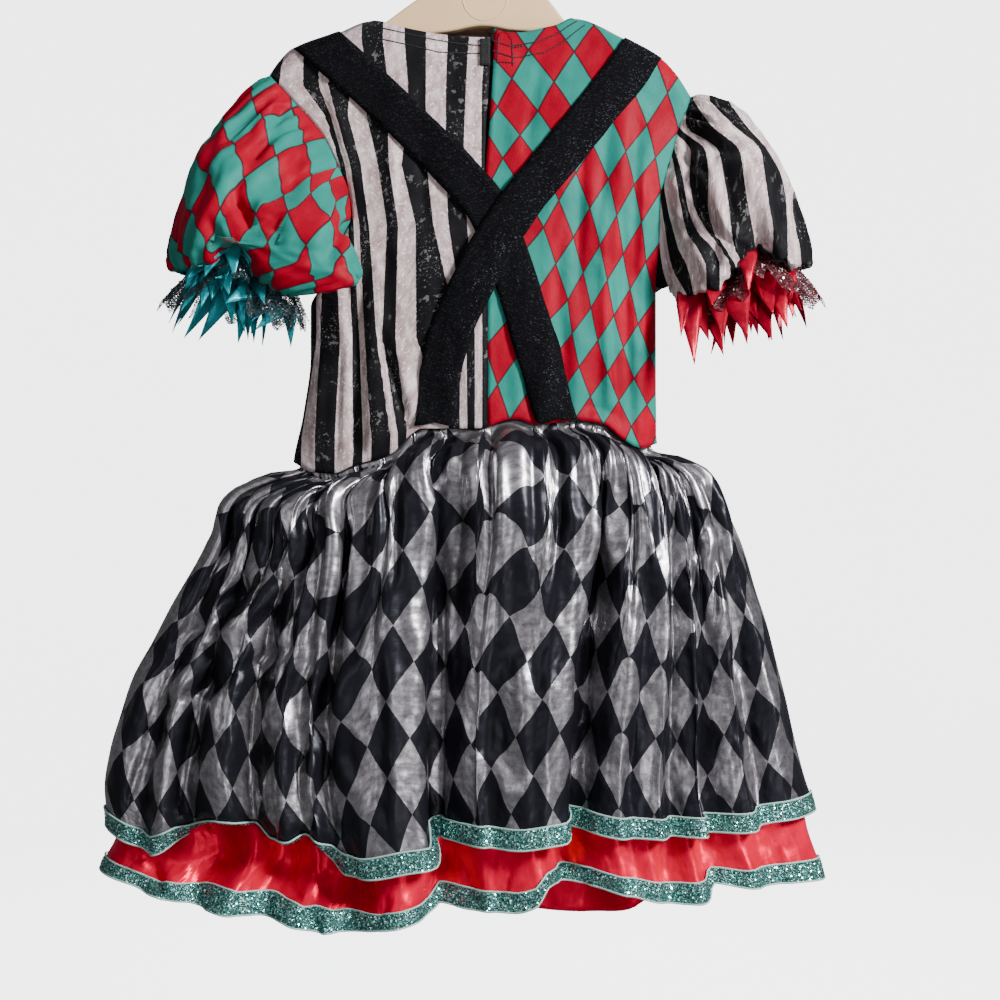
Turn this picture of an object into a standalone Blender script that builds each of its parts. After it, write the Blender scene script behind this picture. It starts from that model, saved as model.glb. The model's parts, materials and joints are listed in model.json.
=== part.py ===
"""Clown costume dress hung on a moulded hanger, as separate cloth walls.

Metres, +Z up. The origin is the inner top of the hanger's hook, where a rail carries it.
The garment's back, with its opening and crossed straps, faces -Y, and its front faces +Y.
Tables are in millimetres: each row is one section, fold or place along an edge.
"""

import math

import bpy
from mathutils import Vector
from mathutils.bvhtree import BVHTree

# ---- driving dimensions, millimetres -------------------------------------------------------
MM = 0.001
SEAM_GAP = 0.3            # between pieces that are sewn together
JERSEY = 1.2              # bodice and sleeve wall
SATIN = 1.2               # skirt and underskirt wall
RIBBON = 1.0              # glitter ribbon wall
ELASTIC = 1.3             # strap wall
NET = 1.0                 # sleeve ruffle walls
STRAP_LIFT = 1.5          # strap's inner face above the bodice
CENTRE_X = 6.0            # back opening and centre-front seam
WAIST_CENTRE_Z = -404.0
HOOK_INNER_RADIUS = 20.0
HOOK_WIRE_RADIUS = 1.8
HANGER_HALF_DEPTH = 5.0
HANGER_EDGE = 2.4         # bevel round the hanger's outline
PLAN_SQUARENESS = 2.4     # plan sections of the bodice are superellipses of this power
SHOULDER_ROUND = 16.0     # how far below the shoulder line the cloth reaches its full depth

BODICE_LOW_ROWS = 6       # below the underarm
SLEEVE_COLUMNS = 32
BACK_COLUMNS = 10
FRONT_COLUMNS = 8
SKIRT_BACK_COLUMNS = 72
SKIRT_FRONT_COLUMNS = 36
UNDER_BACK_COLUMNS = 44
UNDER_FRONT_COLUMNS = 28

# ---- bodice --------------------------------------------------------------------------------
# outer edge, waist to shoulder tip: side seam, underarm, then armhole
# columns: share of the way up, x, z, depth of the armhole's edge
LEFT_EDGE = (
    (0.00, -140, -429, 0),
    (0.12, -132, -390, 0),
    (0.25, -127, -350, 0),
    (0.40, -127, -312, 0),
    (0.44, -122, -302, 0),
    (0.48, -119, -294, 13),
    (0.53, -111, -279, 14),
    (0.58, -102, -263, 15),
    (0.64, -95, -247, 15),
    (0.70, -97, -229, 15),
    (0.78, -107, -206, 14),
    (0.85, -117, -186, 13),
    (0.91, -131, -169, 11),
    (0.955, -142, -157, 11),
    (1.00, -158, -139, 9),
)
RIGHT_EDGE = (
    (0.00, 133, -415, 0),
    (0.15, 132, -375, 0),
    (0.28, 132, -337, 0),
    (0.40, 132, -302, 0),
    (0.50, 133, -273, 10),
    (0.62, 134, -238, 14),
    (0.68, 137, -222, 14),
    (0.76, 143, -200, 13),
    (0.83, 148, -181, 11),
    (0.90, 154, -167, 11),
    (1.00, 158, -155, 9),
)
LEFT_UNDERARM = 0.44
RIGHT_UNDERARM = 0.40

# columns: x, z
BACK_TOP_LEFT = (
    (-158, -139), (-151, -129), (-141, -119), (-107, -107.5), (-82, -98.5), (-75, -100),
    (-60, -105), (-25, -111.5), (-8, -113), (6, -113.5),
)
BACK_TOP_RIGHT = (
    (6, -106.5), (17, -109.5), (27, -109.5), (48, -106), (58, -103.5), (70, -96.5),
    (109, -112), (136, -126.5), (147, -138), (158, -155),
)
FRONT_TOP_LEFT = (
    (-158, -139), (-151, -129), (-141, -119), (-107, -107.5), (-82, -98.5), (-70, -99.5),
    (-40, -100.5), (6, -101),
)
FRONT_TOP_RIGHT = (
    (6, -101), (40, -100), (58, -98), (70, -96.5),
    (109, -112), (136, -126.5), (147, -138), (158, -155),
)
# the line that the cloth would fold over, across the neck as well: x, z
HANG_LINE = (
    (-158, -139), (-151, -129), (-141, -119), (-107, -107.5), (-82, -98.5), (-40, -84),
    (0, -80), (40, -84), (70, -96.5), (109, -112), (136, -126.5), (147, -138), (158, -155),
)
# waist seam: x, z
WAIST = (
    (-140, -429), (-123, -437), (-109, -438), (-93, -432), (-64, -423), (-50, -409),
    (-42, -405), (-2, -405), (26, -398), (41, -402), (72, -399), (92, -402), (106, -413),
    (120, -419), (133, -415),
)
# half depth of the bodice up its centre line: share of the way up, back, front
BODICE_DEPTH = (
    (0.0, 32, 26), (0.2, 33, 27), (0.4, 31, 25), (0.6, 26, 20), (0.8, 19, 15), (0.9, 15, 12),
    (1.0, 11, 10),
)
# soft vertical folds: x at the waist, x at the chest, depth at the waist, half width
BACK_FOLDS = (
    (-118, -112, 4.0, 7), (-92, -82, 5.0, 8), (-30, -30, 2.2, 7), (20, 24, 2.2, 7),
    (60, 66, 2.2, 8), (88, 84, 4.5, 8), (112, 106, 4.0, 7),
)
FRONT_FOLDS = (
    (-104, -96, 4.0, 8), (-50, -44, 3.0, 9), (34, 30, 3.0, 9), (92, 88, 4.0, 8),
)

# ---- sleeves -------------------------------------------------------------------------------
# rings from the armhole to the elastic cuff, each an ellipse between an outer and an inner end
# columns: share of the way, outer x y z, inner x y z, half depth near, half depth far
LEFT_SLEEVE = (
    (0.00, -158, 0, -139, -122, 0, -302, 15, 12),
    (0.06, -166, -2, -145, -121, -12, -304, 22, 15),
    (0.12, -174, -4, -153, -120, -22, -305, 29, 18),
    (0.25, -193, -12, -179, -118, -34, -306, 38, 22),
    (0.40, -207, -20, -200, -117, -42, -306, 43, 24),
    (0.55, -216, -26, -232, -116, -46, -305, 45, 25),
    (0.70, -223, -31, -262, -116, -49, -304, 44, 24),
    (0.82, -226, -34, -279, -117, -51, -304, 40, 22),
    (0.92, -222, -36, -290, -120, -52, -305, 33, 18),
    (1.00, -211, -37, -291, -126, -49, -308, 22, 14),
)
RIGHT_SLEEVE = (
    (0.00, 158, 0, -155, 132, 0, -302, 15, 12),
    (0.06, 164, 0, -155, 137, -1, -300, 20, 16),
    (0.12, 172, 0, -157, 141.5, -2, -300, 25, 20),
    (0.25, 189, -2, -164, 144, -5, -303, 34, 25),
    (0.40, 207, -4, -182, 145, -8, -306, 40, 29),
    (0.55, 221, -7, -206, 147, -11, -309, 43, 31),
    (0.70, 232, -10, -236, 150, -13, -310, 43, 31),
    (0.82, 241, -12, -266, 154, -14, -308, 39, 28),
    (0.92, 243, -13, -282, 159, -15, -305, 32, 22),
    (1.00, 236, -14, -285, 167, -15, -301, 22, 16),
)
# how far the far side's inner half draws in towards the armhole, as a share
LEFT_TUCK = 0.30
RIGHT_TUCK = 0.0
# how far the near side hangs over the bodice, inward of the armhole
LEFT_OVERHANG = 38
RIGHT_OVERHANG = 0
# how the cinched cuff lifts the sleeve's near edge: share from outer to inner end, lift
LEFT_CINCH = (
    (0.0, 0), (0.09, 5), (0.24, 22), (0.30, 25), (0.42, 17), (0.50, 7), (0.63, -4),
    (0.74, -14), (0.82, -8), (0.91, 4), (1.0, 0),
)
RIGHT_CINCH = (
    (0.0, 0), (0.13, 0), (0.33, 8), (0.49, 21), (0.65, 12), (0.76, 3), (0.82, -4), (1.0, 0),
)
# gathers round a sleeve: waves at the cap and at the cuff, and their heights
CAP_WAVES = 7
CAP_WAVE_HEIGHT = 1.6
CUFF_WAVES = 5
CUFF_WAVE_HEIGHT = 3.0
CAP_FADE_NEAR = 0.6       # share of the way down where the armhole's own curve has faded out
CAP_FADE_FAR = 0.12

# ---- cuffs ---------------------------------------------------------------------------------
CUFF_TEETH = 16
NET_DROP = 26
TEETH_VALLEY_DROP = 22
TEETH_TIP_DROP = 46
CUFF_FLARE = 12
LEFT_CUFF_HANG = (-0.30, 0.0, -0.95)
RIGHT_CUFF_HANG = (0.14, 0.0, -0.99)

# ---- skirts --------------------------------------------------------------------------------
# outer skirt's rings from waist to hem
# columns: share of the way down, left x, right x, depth at the back, depth at the front
SKIRT_RINGS = (
    (0.00, -135.5, 128.5, 27.5, 21.5),
    (0.024, -135.5, 128.5, 27.5, 21.5),
    (0.05, -160, 152, 40, 33),
    (0.085, -184, 170, 49, 38),
    (0.12, -193, 177, 53, 39),
    (0.20, -200, 187, 60, 42),
    (0.30, -215, 198, 66, 43),
    (0.40, -231, 206, 70, 44),
    (0.50, -245, 215, 74, 45),
    (0.60, -260, 222, 78, 46),
    (0.70, -269, 229, 81, 47),
    (0.80, -277, 235, 84, 48),
    (0.90, -281, 242, 86, 49),
    (1.00, -279, 250, 88, 50),
    (1.30, -284, 258, 88, 50),
)
# where a hem place starts at the waist: share across the hem, share across the waist
GATHER_MAP = (
    (0.0, 0.0), (0.24, 0.13), (0.46, 0.405), (0.635, 0.76), (0.84, 0.93), (1.0, 1.0),
)
# hem of each panel: share across, z
OUTER_HEM_BACK = (
    (0.0, -699), (0.03, -706), (0.075, -716), (0.11, -710), (0.18, -701), (0.225, -704),
    (0.255, -714), (0.28, -715), (0.30, -710), (0.33, -716), (0.375, -725), (0.43, -720),
    (0.455, -717), (0.468, -700), (0.52, -702), (0.575, -704), (0.628, -700),
    (0.642, -691), (0.67, -693), (0.73, -698), (0.79, -699), (0.89, -698), (0.95, -692),
    (1.0, -688.5),
)
OUTER_HEM_FRONT = (
    (0.0, -699), (0.2, -703), (0.4, -698), (0.6, -702), (0.8, -697), (1.0, -688.5),
)
UNDER_HEM_BACK = (
    (0.0, -732), (0.03, -737), (0.07, -745), (0.11, -749), (0.165, -754), (0.24, -758),
    (0.32, -766), (0.40, -761), (0.455, -754), (0.472, -747), (0.52, -749), (0.57, -749),
    (0.600, -744), (0.617, -731), (0.67, -733), (0.73, -740), (0.80, -748), (0.838, -747),
    (0.852, -736), (0.90, -739), (0.97, -738), (1.0, -739.5),
)
UNDER_HEM_FRONT = (
    (0.0, -732), (0.1, -742), (0.25, -758), (0.42, -766), (0.60, -770), (0.67, -776),
    (0.73, -772), (0.80, -754), (0.90, -744), (1.0, -739.5),
)
# long folds of the back panel
# columns: share across the hem, sideways drift at the waist, depth, steep side, gentle side,
# share of the way down where it is full; a wide left side puts the steep side at the right
BACK_SKIRT_FOLDS = (
    (0.055, 0.00, 8, 0.012, 0.030, 0.60),
    (0.125, 0.00, 12, 0.016, 0.030, 0.55),
    (0.225, 0.00, 15, 0.014, 0.034, 0.55),
    (0.300, 0.02, 9, 0.012, 0.020, 0.85),
    (0.345, 0.00, 12, 0.016, 0.026, 0.35),
    (0.468, 0.00, 24, 0.010, 0.050, 0.45),
    (0.545, 0.00, 9, 0.014, 0.024, 0.60),
    (0.645, 0.00, 24, 0.010, 0.045, 0.45),
    (0.740, 0.00, 9, 0.016, 0.028, 0.70),
    (0.795, 0.02, 12, 0.014, 0.024, 0.40),
    (0.850, 0.00, 15, 0.010, 0.035, 0.75),
    (0.925, 0.00, 10, 0.014, 0.026, 0.60),
)
FRONT_SKIRT_FOLDS = (
    (0.09, 0.00, 8, 0.025, 0.025, 0.60),
    (0.21, 0.00, 10, 0.025, 0.030, 0.50),
    (0.35, 0.01, 12, 0.025, 0.035, 0.55),
    (0.47, 0.00, 9, 0.025, 0.030, 0.70),
    (0.60, 0.00, 12, 0.025, 0.035, 0.50),
    (0.74, 0.01, 11, 0.025, 0.030, 0.60),
    (0.88, 0.00, 9, 0.025, 0.025, 0.65),
)
BACK_GATHERS = 19
FRONT_GATHERS = 11
GATHER_HEIGHT = 2.2
GATHER_END = 0.30          # share of the way down where the small gathers have run out
CURL_FROM = 0.105          # stretch of the back hem that rolls under, as shares across
CURL_TO = 0.335
CURL_FADE = 0.03
CURL_TURN = math.radians(125)
CURL_START = 0.915         # share of the way down where the roll begins
RIBBON_START = 0.943
SKIRT_BACK_ROWS = (0.0, 0.024, 0.055, 0.12, 0.25, 0.45, 0.70, CURL_START, RIBBON_START, 0.972, 1.0)
SKIRT_FRONT_ROWS = (0.0, 0.024, 0.055, 0.12, 0.40, 0.70, RIBBON_START, 1.0)
UNDER_INSET = 7.0          # underskirt inside the outer skirt
UNDER_HEM_INSET = 12.0     # more so at the hem, to reach past the outer hem
UNDER_CURL_INSET = 19.0    # and further still behind the roll
UNDER_ROWS = (0.0, 0.024, 0.12, 0.30, 0.65, 0.92, 1.0)
UNDER_TAIL_ROWS = (0.70, 1.0)

# ---- straps --------------------------------------------------------------------------------
# each strap's middle line on the back, from the waist up to the shoulder: x, z, half width
LEFT_STRAP_BACK = (
    (57, -397, 16), (51, -378, 16), (41, -345, 15.8), (30, -308, 15.5), (18, -272, 15.5),
    (6, -244, 15.5), (-14, -219, 15.5), (-46, -186, 15.5), (-83, -150, 15.8), (-101, -134, 16),
)
RIGHT_STRAP_BACK = (
    (-33, -400, 14.5), (-30, -384, 15), (-28, -362, 15.5), (-21, -335, 15.5),
    (-8, -305, 15.5), (9, -272, 15.5), (32, -238, 15.5), (66, -195, 15.5), (97, -156, 15.8),
    (109, -141, 16),
)
# fold over the shoulder: x of the two edges on the hang line
LEFT_STRAP_FOLD = (-141, -107)
RIGHT_STRAP_FOLD = (109, 136)
# middle line down the front, from the shoulder to the waist: x, z, half width
LEFT_STRAP_FRONT = (
    (-113, -143, 16), (-96, -172, 16), (-80, -206, 16), (-69, -246, 16), (-64, -300, 16),
    (-62, -350, 16), (-61, -395, 16),
)
RIGHT_STRAP_FRONT = (
    (119, -150, 14), (113, -180, 15), (105, -215, 16), (97, -255, 16), (89, -300, 16),
    (81, -350, 16), (75, -392, 16),
)
STRAP_CROSS = (5, -262)       # x, z where they cross
STRAP_CROSS_REACH = 62
STRAP_CROSS_LIFT = 2.4
STRAP_COLUMNS = (-1.0, 0.0, 1.0)
# places between the shoulder's fold (0) and the straight back (-1) or front (1)
SHOULDER_SHARES = (-0.8, -0.6, -0.4, -0.25, -0.12, 0.0, 0.12, 0.25, 0.4, 0.6, 0.8)
SHOULDER_LIFT = 1.7
STRAP_BACK_STEPS = 24
STRAP_FRONT_STEPS = 12

# ---- colours -------------------------------------------------------------------------------
COLOURS = {
    "stripe_jersey": ((0.30, 0.27, 0.26), 0.55, 0.0),
    "diamond_jersey": ((0.55, 0.03, 0.05), 0.5, 0.0),
    "satin_harlequin": ((0.06, 0.06, 0.07), 0.32, 0.0),
    "red_satin": ((0.45, 0.01, 0.02), 0.3, 0.0),
    "glitter_ribbon": ((0.08, 0.22, 0.22), 0.35, 0.2),
    "glitter_elastic": ((0.01, 0.01, 0.012), 0.6, 0.0),
    "glitter_net": ((0.02, 0.02, 0.02), 0.5, 0.0),
    "teal_satin": ((0.10, 0.42, 0.45), 0.35, 0.0),
    "hook_loop": ((0.01, 0.01, 0.01), 0.8, 0.0),
    "hanger_plastic": ((0.66, 0.53, 0.40), 0.4, 0.0),
    "hook_steel": ((0.55, 0.55, 0.56), 0.3, 1.0),
}


# ---- small mathematics ---------------------------------------------------------------------
def through(rows, at, column=1):
    """Value in a column of a table at a place, on a smooth curve that never overshoots."""
    if at <= rows[0][0]:
        return float(rows[0][column])
    if at >= rows[-1][0]:
        return float(rows[-1][column])
    index = max(i for i in range(len(rows) - 1) if rows[i][0] <= at)
    x0, x1 = rows[index][0], rows[index + 1][0]
    y0, y1 = rows[index][column], rows[index + 1][column]
    start = _tangent(rows, index, column)
    end = _tangent(rows, index + 1, column)
    span = x1 - x0
    t = (at - x0) / span
    blend = t * t * (3 - 2 * t)
    ease_in = t * (1 - t) ** 2
    ease_out = t * t * (1 - t)
    return y0 + (y1 - y0) * blend + span * (start * ease_in - end * ease_out)


def _tangent(rows, index, column):
    """Slope at a row: the harmonic mean of its neighbours' slopes, or flat at a turn."""
    if index == 0:
        return _slope(rows, 0, column)
    if index == len(rows) - 1:
        return _slope(rows, index - 1, column)
    before = _slope(rows, index - 1, column)
    after = _slope(rows, index, column)
    if before * after <= 0:
        return 0.0
    return 2 * before * after / (before + after)


def _slope(rows, index, column):
    rise = rows[index + 1][column] - rows[index][column]
    return rise / (rows[index + 1][0] - rows[index][0])


def ramp(start, end, at):
    """0 before start, 1 after end, smooth between."""
    t = min(1.0, max(0.0, (at - start) / (end - start)))
    return t * t * (3 - 2 * t)


def mix(a, b, share):
    return a + (b - a) * share


def rounded(distance, radius):
    """Depth share at a distance inside an edge that rounds over: a quarter ellipse."""
    if distance >= radius:
        return 1.0
    share = 1 - max(0.0, distance) / radius
    return math.sqrt(1 - share * share)


def plan(from_side):
    """Depth share across a flattened section: 0 at its side, 1 at its middle."""
    reach = min(1.0, max(0.0, from_side))
    power = PLAN_SQUARENESS
    return max(0.0, 1 - (1 - reach) ** power) ** (1 / power)


# ---- walls ---------------------------------------------------------------------------------
def grid_normals(grid, closed, centre):
    """Unit normals of a grid of points, pointing away from its centre line (x, y)."""
    rows, columns = len(grid), len(grid[0])
    wraps = columns if closed else columns - 1
    totals = [[Vector() for _ in line] for line in grid]
    for i in range(rows - 1):
        for j in range(wraps):
            after = (j + 1) % columns
            falling = grid[i + 1][after] - grid[i][j]
            rising = grid[i][after] - grid[i + 1][j]
            facing = rising.cross(falling).normalized()
            for row, column in ((i, j), (i, after), (i + 1, j), (i + 1, after)):
                totals[row][column] += facing
    balance = 0.0
    for line, points in zip(totals, grid):
        for total, point in zip(line, points):
            total.normalize()
            balance += total.dot(point - Vector((centre[0], centre[1], point.z)))
    if balance < 0:
        totals = [[-n for n in line] for line in totals]
    return totals


def moved(grid, normals, distance):
    """The grid moved along its normals, out for a positive distance."""
    return [
        [p + n * distance for p, n in zip(points, directions)]
        for points, directions in zip(grid, normals)
    ]


def flatten_seam(normals, column, axis):
    """Take one axis out of the normals down a seam, so that both sides of it meet squarely."""
    for line in normals:
        line[column][axis] = 0.0
        line[column].normalize()


def keep_beyond(grid, axis, limit, side):
    """Hold every point on one side of a seam's plane."""
    for line in grid:
        for point in line:
            if (point[axis] - limit) * side < 0:
                point[axis] = limit


def wall_mesh(name, outer, inner, closed):
    """One closed wall between two grids of the same size, joined along every free edge."""
    rows, columns = len(outer), len(outer[0])
    count = rows * columns
    points = [p * MM for line in outer for p in line] + [p * MM for line in inner for p in line]
    wraps = columns if closed else columns - 1

    def at(i, j, layer):
        return layer * count + i * columns + j % columns

    # both layers are split along the same diagonal, so that a bent cell keeps its thickness
    faces = []
    for i in range(rows - 1):
        for j in range(wraps):
            for corners in (((i, j), (i, j + 1), (i + 1, j + 1)), ((i, j), (i + 1, j + 1), (i + 1, j))):
                faces.append([at(a, b, 0) for a, b in corners])
                faces.append([at(a, b, 1) for a, b in reversed(corners)])
    for j in range(wraps):
        faces.append([at(0, j + 1, 0), at(0, j, 0), at(0, j, 1), at(0, j + 1, 1)])
        last = rows - 1
        faces.append([at(last, j, 0), at(last, j + 1, 0), at(last, j + 1, 1), at(last, j, 1)])
    if not closed:
        last = columns - 1
        for i in range(rows - 1):
            faces.append([at(i, 0, 0), at(i + 1, 0, 0), at(i + 1, 0, 1), at(i, 0, 1)])
            faces.append([at(i + 1, last, 0), at(i, last, 0), at(i, last, 1), at(i + 1, last, 1)])
    mesh = bpy.data.meshes.new(name)
    mesh.from_pydata([tuple(p) for p in points], [], faces)
    mesh.validate()
    return mesh


def signed_volume(mesh):
    """Six times the volume that the faces enclose, negative where they point in."""
    total = 0.0
    for face in mesh.polygons:
        corners = [mesh.vertices[i].co for i in face.vertices]
        for a, b in zip(corners[1:], corners[2:]):
            total += corners[0].dot(a.cross(b))
    return total


def add_piece(name, mesh, material):
    """Put a finished mesh in the scene as a named piece, its faces pointing out."""
    if signed_volume(mesh) < 0:
        mesh.flip_normals()
    mesh.shade_smooth()
    mesh.set_sharp_from_angle(angle=math.radians(50))
    mesh.materials.append(material)
    piece = bpy.data.objects.new(name, mesh)
    bpy.context.scene.collection.objects.link(piece)
    return piece


def add_wall(name, outer, inner, closed, material):
    return add_piece(name, wall_mesh(name, outer, inner, closed), material)


def make_materials():
    made = {}
    for name, (colour, roughness, metallic) in COLOURS.items():
        material = bpy.data.materials.new(name)
        material.use_nodes = True
        shader = material.node_tree.nodes["Principled BSDF"]
        shader.inputs["Base Color"].default_value = (*colour, 1.0)
        shader.inputs["Roughness"].default_value = roughness
        shader.inputs["Metallic"].default_value = metallic
        made[name] = material
    return made


# ---- bodice --------------------------------------------------------------------------------
def edge_rows(underarm):
    """Shares up the outer edge: even up to the underarm, then the armhole's, close at its top."""
    low = [underarm * i / BODICE_LOW_ROWS for i in range(BODICE_LOW_ROWS)]
    even = SLEEVE_COLUMNS // 4 - 2
    high = [mix(underarm, 0.93, i / even) for i in range(even + 1)]
    return low + high + [0.975, 1.0]


def bodice_fold(folds, x, up):
    """How far the cloth dips into its soft vertical folds."""
    strength = ramp(0.0, 0.07, up) * (1 - ramp(0.25, 0.6, up))
    dip = 0.0
    for at_waist, at_chest, depth, half_width in folds:
        place = mix(at_waist, at_chest, min(1.0, up / 0.6))
        dip += depth * strength * math.exp(-(((x - place) / half_width) ** 2))
    return dip


def bodice_grid(left, front):
    """Outer points of one bodice panel, from its waist to its shoulder, centre to side."""
    edge = LEFT_EDGE if left else RIGHT_EDGE
    underarm = LEFT_UNDERARM if left else RIGHT_UNDERARM
    if front:
        top = FRONT_TOP_LEFT if left else FRONT_TOP_RIGHT
    else:
        top = BACK_TOP_LEFT if left else BACK_TOP_RIGHT
    side = 1.0 if front else -1.0
    tip_x = edge[-1][1]
    waist_x = edge[0][1]
    top_centre_z = through(top, CENTRE_X)
    columns = FRONT_COLUMNS if front else BACK_COLUMNS
    grid = []
    for t in edge_rows(underarm):
        edge_x = through(edge, t, 1)
        edge_z = through(edge, t, 2)
        armhole = through(edge, t, 3) * (0.8 if front else 1.0)
        depth = through(BODICE_DEPTH, t, 2 if front else 1)
        centre_z = mix(WAIST_CENTRE_Z, top_centre_z, t)
        line = []
        for j in range(columns + 1):
            s = 1 - (1 - j / columns) ** 1.35
            low_x = mix(CENTRE_X, waist_x, s)
            high_x = mix(CENTRE_X, tip_x, s)
            low_z = through(WAIST, low_x)
            high_z = through(top, high_x)
            corner_x = mix(mix(CENTRE_X, waist_x, s), mix(CENTRE_X, tip_x, s), t)
            corner_z = mix(mix(WAIST_CENTRE_Z, edge[0][2], s), mix(top_centre_z, edge[-1][2], s), t)
            x = mix(CENTRE_X, edge_x, s) + mix(low_x, high_x, t) - corner_x
            z = mix(centre_z, edge_z, s) + mix(low_z, high_z, t) - corner_z
            full = mix(armhole, depth, plan(1 - s))
            dip = bodice_fold(FRONT_FOLDS if front else BACK_FOLDS, x, t) * plan(1 - s) ** 2
            y = (full - dip) * rounded(through(HANG_LINE, x) - z, SHOULDER_ROUND)
            line.append(Vector((x, side * max(y, SEAM_GAP / 2), z)))
        grid.append(line)
    return grid


def bodice_panel(left, front):
    """Outer and inner points of a bodice panel, trimmed by half a gap at each seam."""
    outer = bodice_grid(left, front)
    normals = grid_normals(outer, False, (CENTRE_X, 0.0))
    flatten_seam(normals, 0, 0)
    side = 1 if front else -1
    for i in range(BODICE_LOW_ROWS + 1):
        normals[i][-1].y = 0.0
        normals[i][-1].normalize()
    for j, normal in enumerate(normals[-1]):
        if abs(outer[-1][j].y) < 1.0:
            normal.y = 0.0
            normal.normalize()
    inner = moved(outer, normals, -JERSEY)
    outwards = -1 if left else 1
    for grid in (outer, inner):
        keep_beyond(grid, 1, side * SEAM_GAP / 2, side)
        keep_beyond(grid, 0, CENTRE_X + outwards * SEAM_GAP / 2, outwards)
    return outer, inner, normals


# ---- sleeves -------------------------------------------------------------------------------
def armhole_loop(back, front, layer):
    """Points or normals round an armhole: tip, down the back, up the front, each step halved."""
    rows = range(BODICE_LOW_ROWS, len(back[0]))
    down = [back[layer][i][-1] for i in reversed(rows)]
    up = [front[layer][i][-1] for i in rows]
    corners = [(down[0] + up[-1]) / 2] + down[1:-1] + [(down[-1] + up[0]) / 2] + up[1:-1]
    loop = []
    for k, corner in enumerate(corners):
        loop.append(corner.copy())
        loop.append((corner + corners[(k + 1) % len(corners)]) / 2)
    return loop


def armhole_away(points, normals, left):
    """At each armhole point, the direction in the cloth that leaves the bodice."""
    sense = 1 if left else -1
    ways = []
    for k, normal in enumerate(normals):
        along = points[(k + 1) % len(points)] - points[k - 1]
        ways.append(along.cross(normal).normalized() * sense)
    return ways


def ring_point(row, angle, tuck):
    """A point of a sleeve's elliptical ring; angle 0 is the outer end, 90 degrees the near side."""
    outer = Vector(row[0:3])
    inner = Vector(row[3:6])
    across = (outer - inner) / 2 * math.cos(angle)
    reach = row[6]
    if math.sin(angle) < 0:
        reach = row[7]
        if math.cos(angle) < 0:
            across *= 1 - tuck * math.sqrt(-math.sin(angle))
    return (outer + inner) / 2 + across - Vector((0, reach * math.sin(angle), 0))


def sleeve_row(table, w):
    return [through(table, w, column) for column in range(1, 9)]


def sleeve_point(table, cinch, tuck, overhang, w, angle):
    """A point of the puff sleeve's outer face, without its armhole correction."""
    row = sleeve_row(table, w)
    point = ring_point(row, angle, tuck * ramp(0.0, 0.05, w))
    if math.sin(angle) > 0:
        hanging = ramp(0.0, 0.4, w) * (1 - ramp(0.7, 1.0, w))
        point.x += overhang * hanging * max(0.0, -math.sin(2 * angle)) ** 0.6
    share = (1 - math.cos(angle)) / 2
    nearness = math.sqrt(max(0.0, math.sin(angle)))
    point.z += through(cinch, share) * nearness * ramp(0.55, 0.95, w)
    at_cap = ramp(0.02, 0.15, w) * (1 - ramp(0.3, 0.6, w))
    cap = CAP_WAVE_HEIGHT * math.sin(CAP_WAVES * angle + 0.8) * at_cap
    cuff = CUFF_WAVE_HEIGHT * math.sin(CUFF_WAVES * angle + 2.1) * ramp(0.45, 0.85, w)
    middle = (Vector(row[0:3]) + Vector(row[3:6])) / 2
    outward = (point - middle).normalized()
    return point + outward * (cap + cuff)


def sleeve(name, left, back, front, material):
    """A puff sleeve from the bodice's armhole to its elastic cuff; returns the cuff's points."""
    table = LEFT_SLEEVE if left else RIGHT_SLEEVE
    cinch = LEFT_CINCH if left else RIGHT_CINCH
    tuck = LEFT_TUCK if left else RIGHT_TUCK
    overhang = LEFT_OVERHANG if left else RIGHT_OVERHANG
    outer_loop = armhole_loop(back, front, 0)
    away = armhole_away(outer_loop, armhole_loop(back, front, 2), left)
    angles = [2 * math.pi * j / SLEEVE_COLUMNS for j in range(SLEEVE_COLUMNS)]
    start = sleeve_row(table, 0.0)
    shift = [point - ring_point(start, angle, 0.0) for point, angle in zip(outer_loop, angles)]
    outer = []
    for w in [row[0] for row in table]:
        line = []
        for angle, away_from_ring in zip(angles, shift):
            reach = CAP_FADE_NEAR if math.sin(angle) > 0 else CAP_FADE_FAR
            fade = max(0.0, 1 - w / reach) ** 1.5
            point = sleeve_point(table, cinch, tuck, overhang, w, angle)
            line.append(point + away_from_ring * fade)
        outer.append(line)
    outer[0] = [point + way * SEAM_GAP for point, way in zip(outer_loop, away)]
    middle = (outer[4][0] + outer[4][SLEEVE_COLUMNS // 2]) / 2
    inner = moved(outer, grid_normals(outer, True, (middle.x, middle.y)), -JERSEY)
    add_wall(name, outer, inner, True, material)
    return inner[-1]


# ---- cuffs ---------------------------------------------------------------------------------
def cuff_ring(edge, hang, drop, flare, inset):
    """The cuff's edge moved down its hanging direction and out by its flare."""
    middle = sum(edge, Vector()) / len(edge)
    down = Vector(hang).normalized()
    ring = []
    for point in edge:
        out = point - middle
        out.z = 0.0
        out.normalize()
        ring.append(point + down * drop + out * (flare - inset))
    return ring


def resampled(ring, count):
    """A closed ring of points with another number of points, evenly by index."""
    result = []
    for k in range(count):
        place = k * len(ring) / count
        index = int(place)
        result.append(ring[index].lerp(ring[(index + 1) % len(ring)], place - index))
    return result


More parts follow.
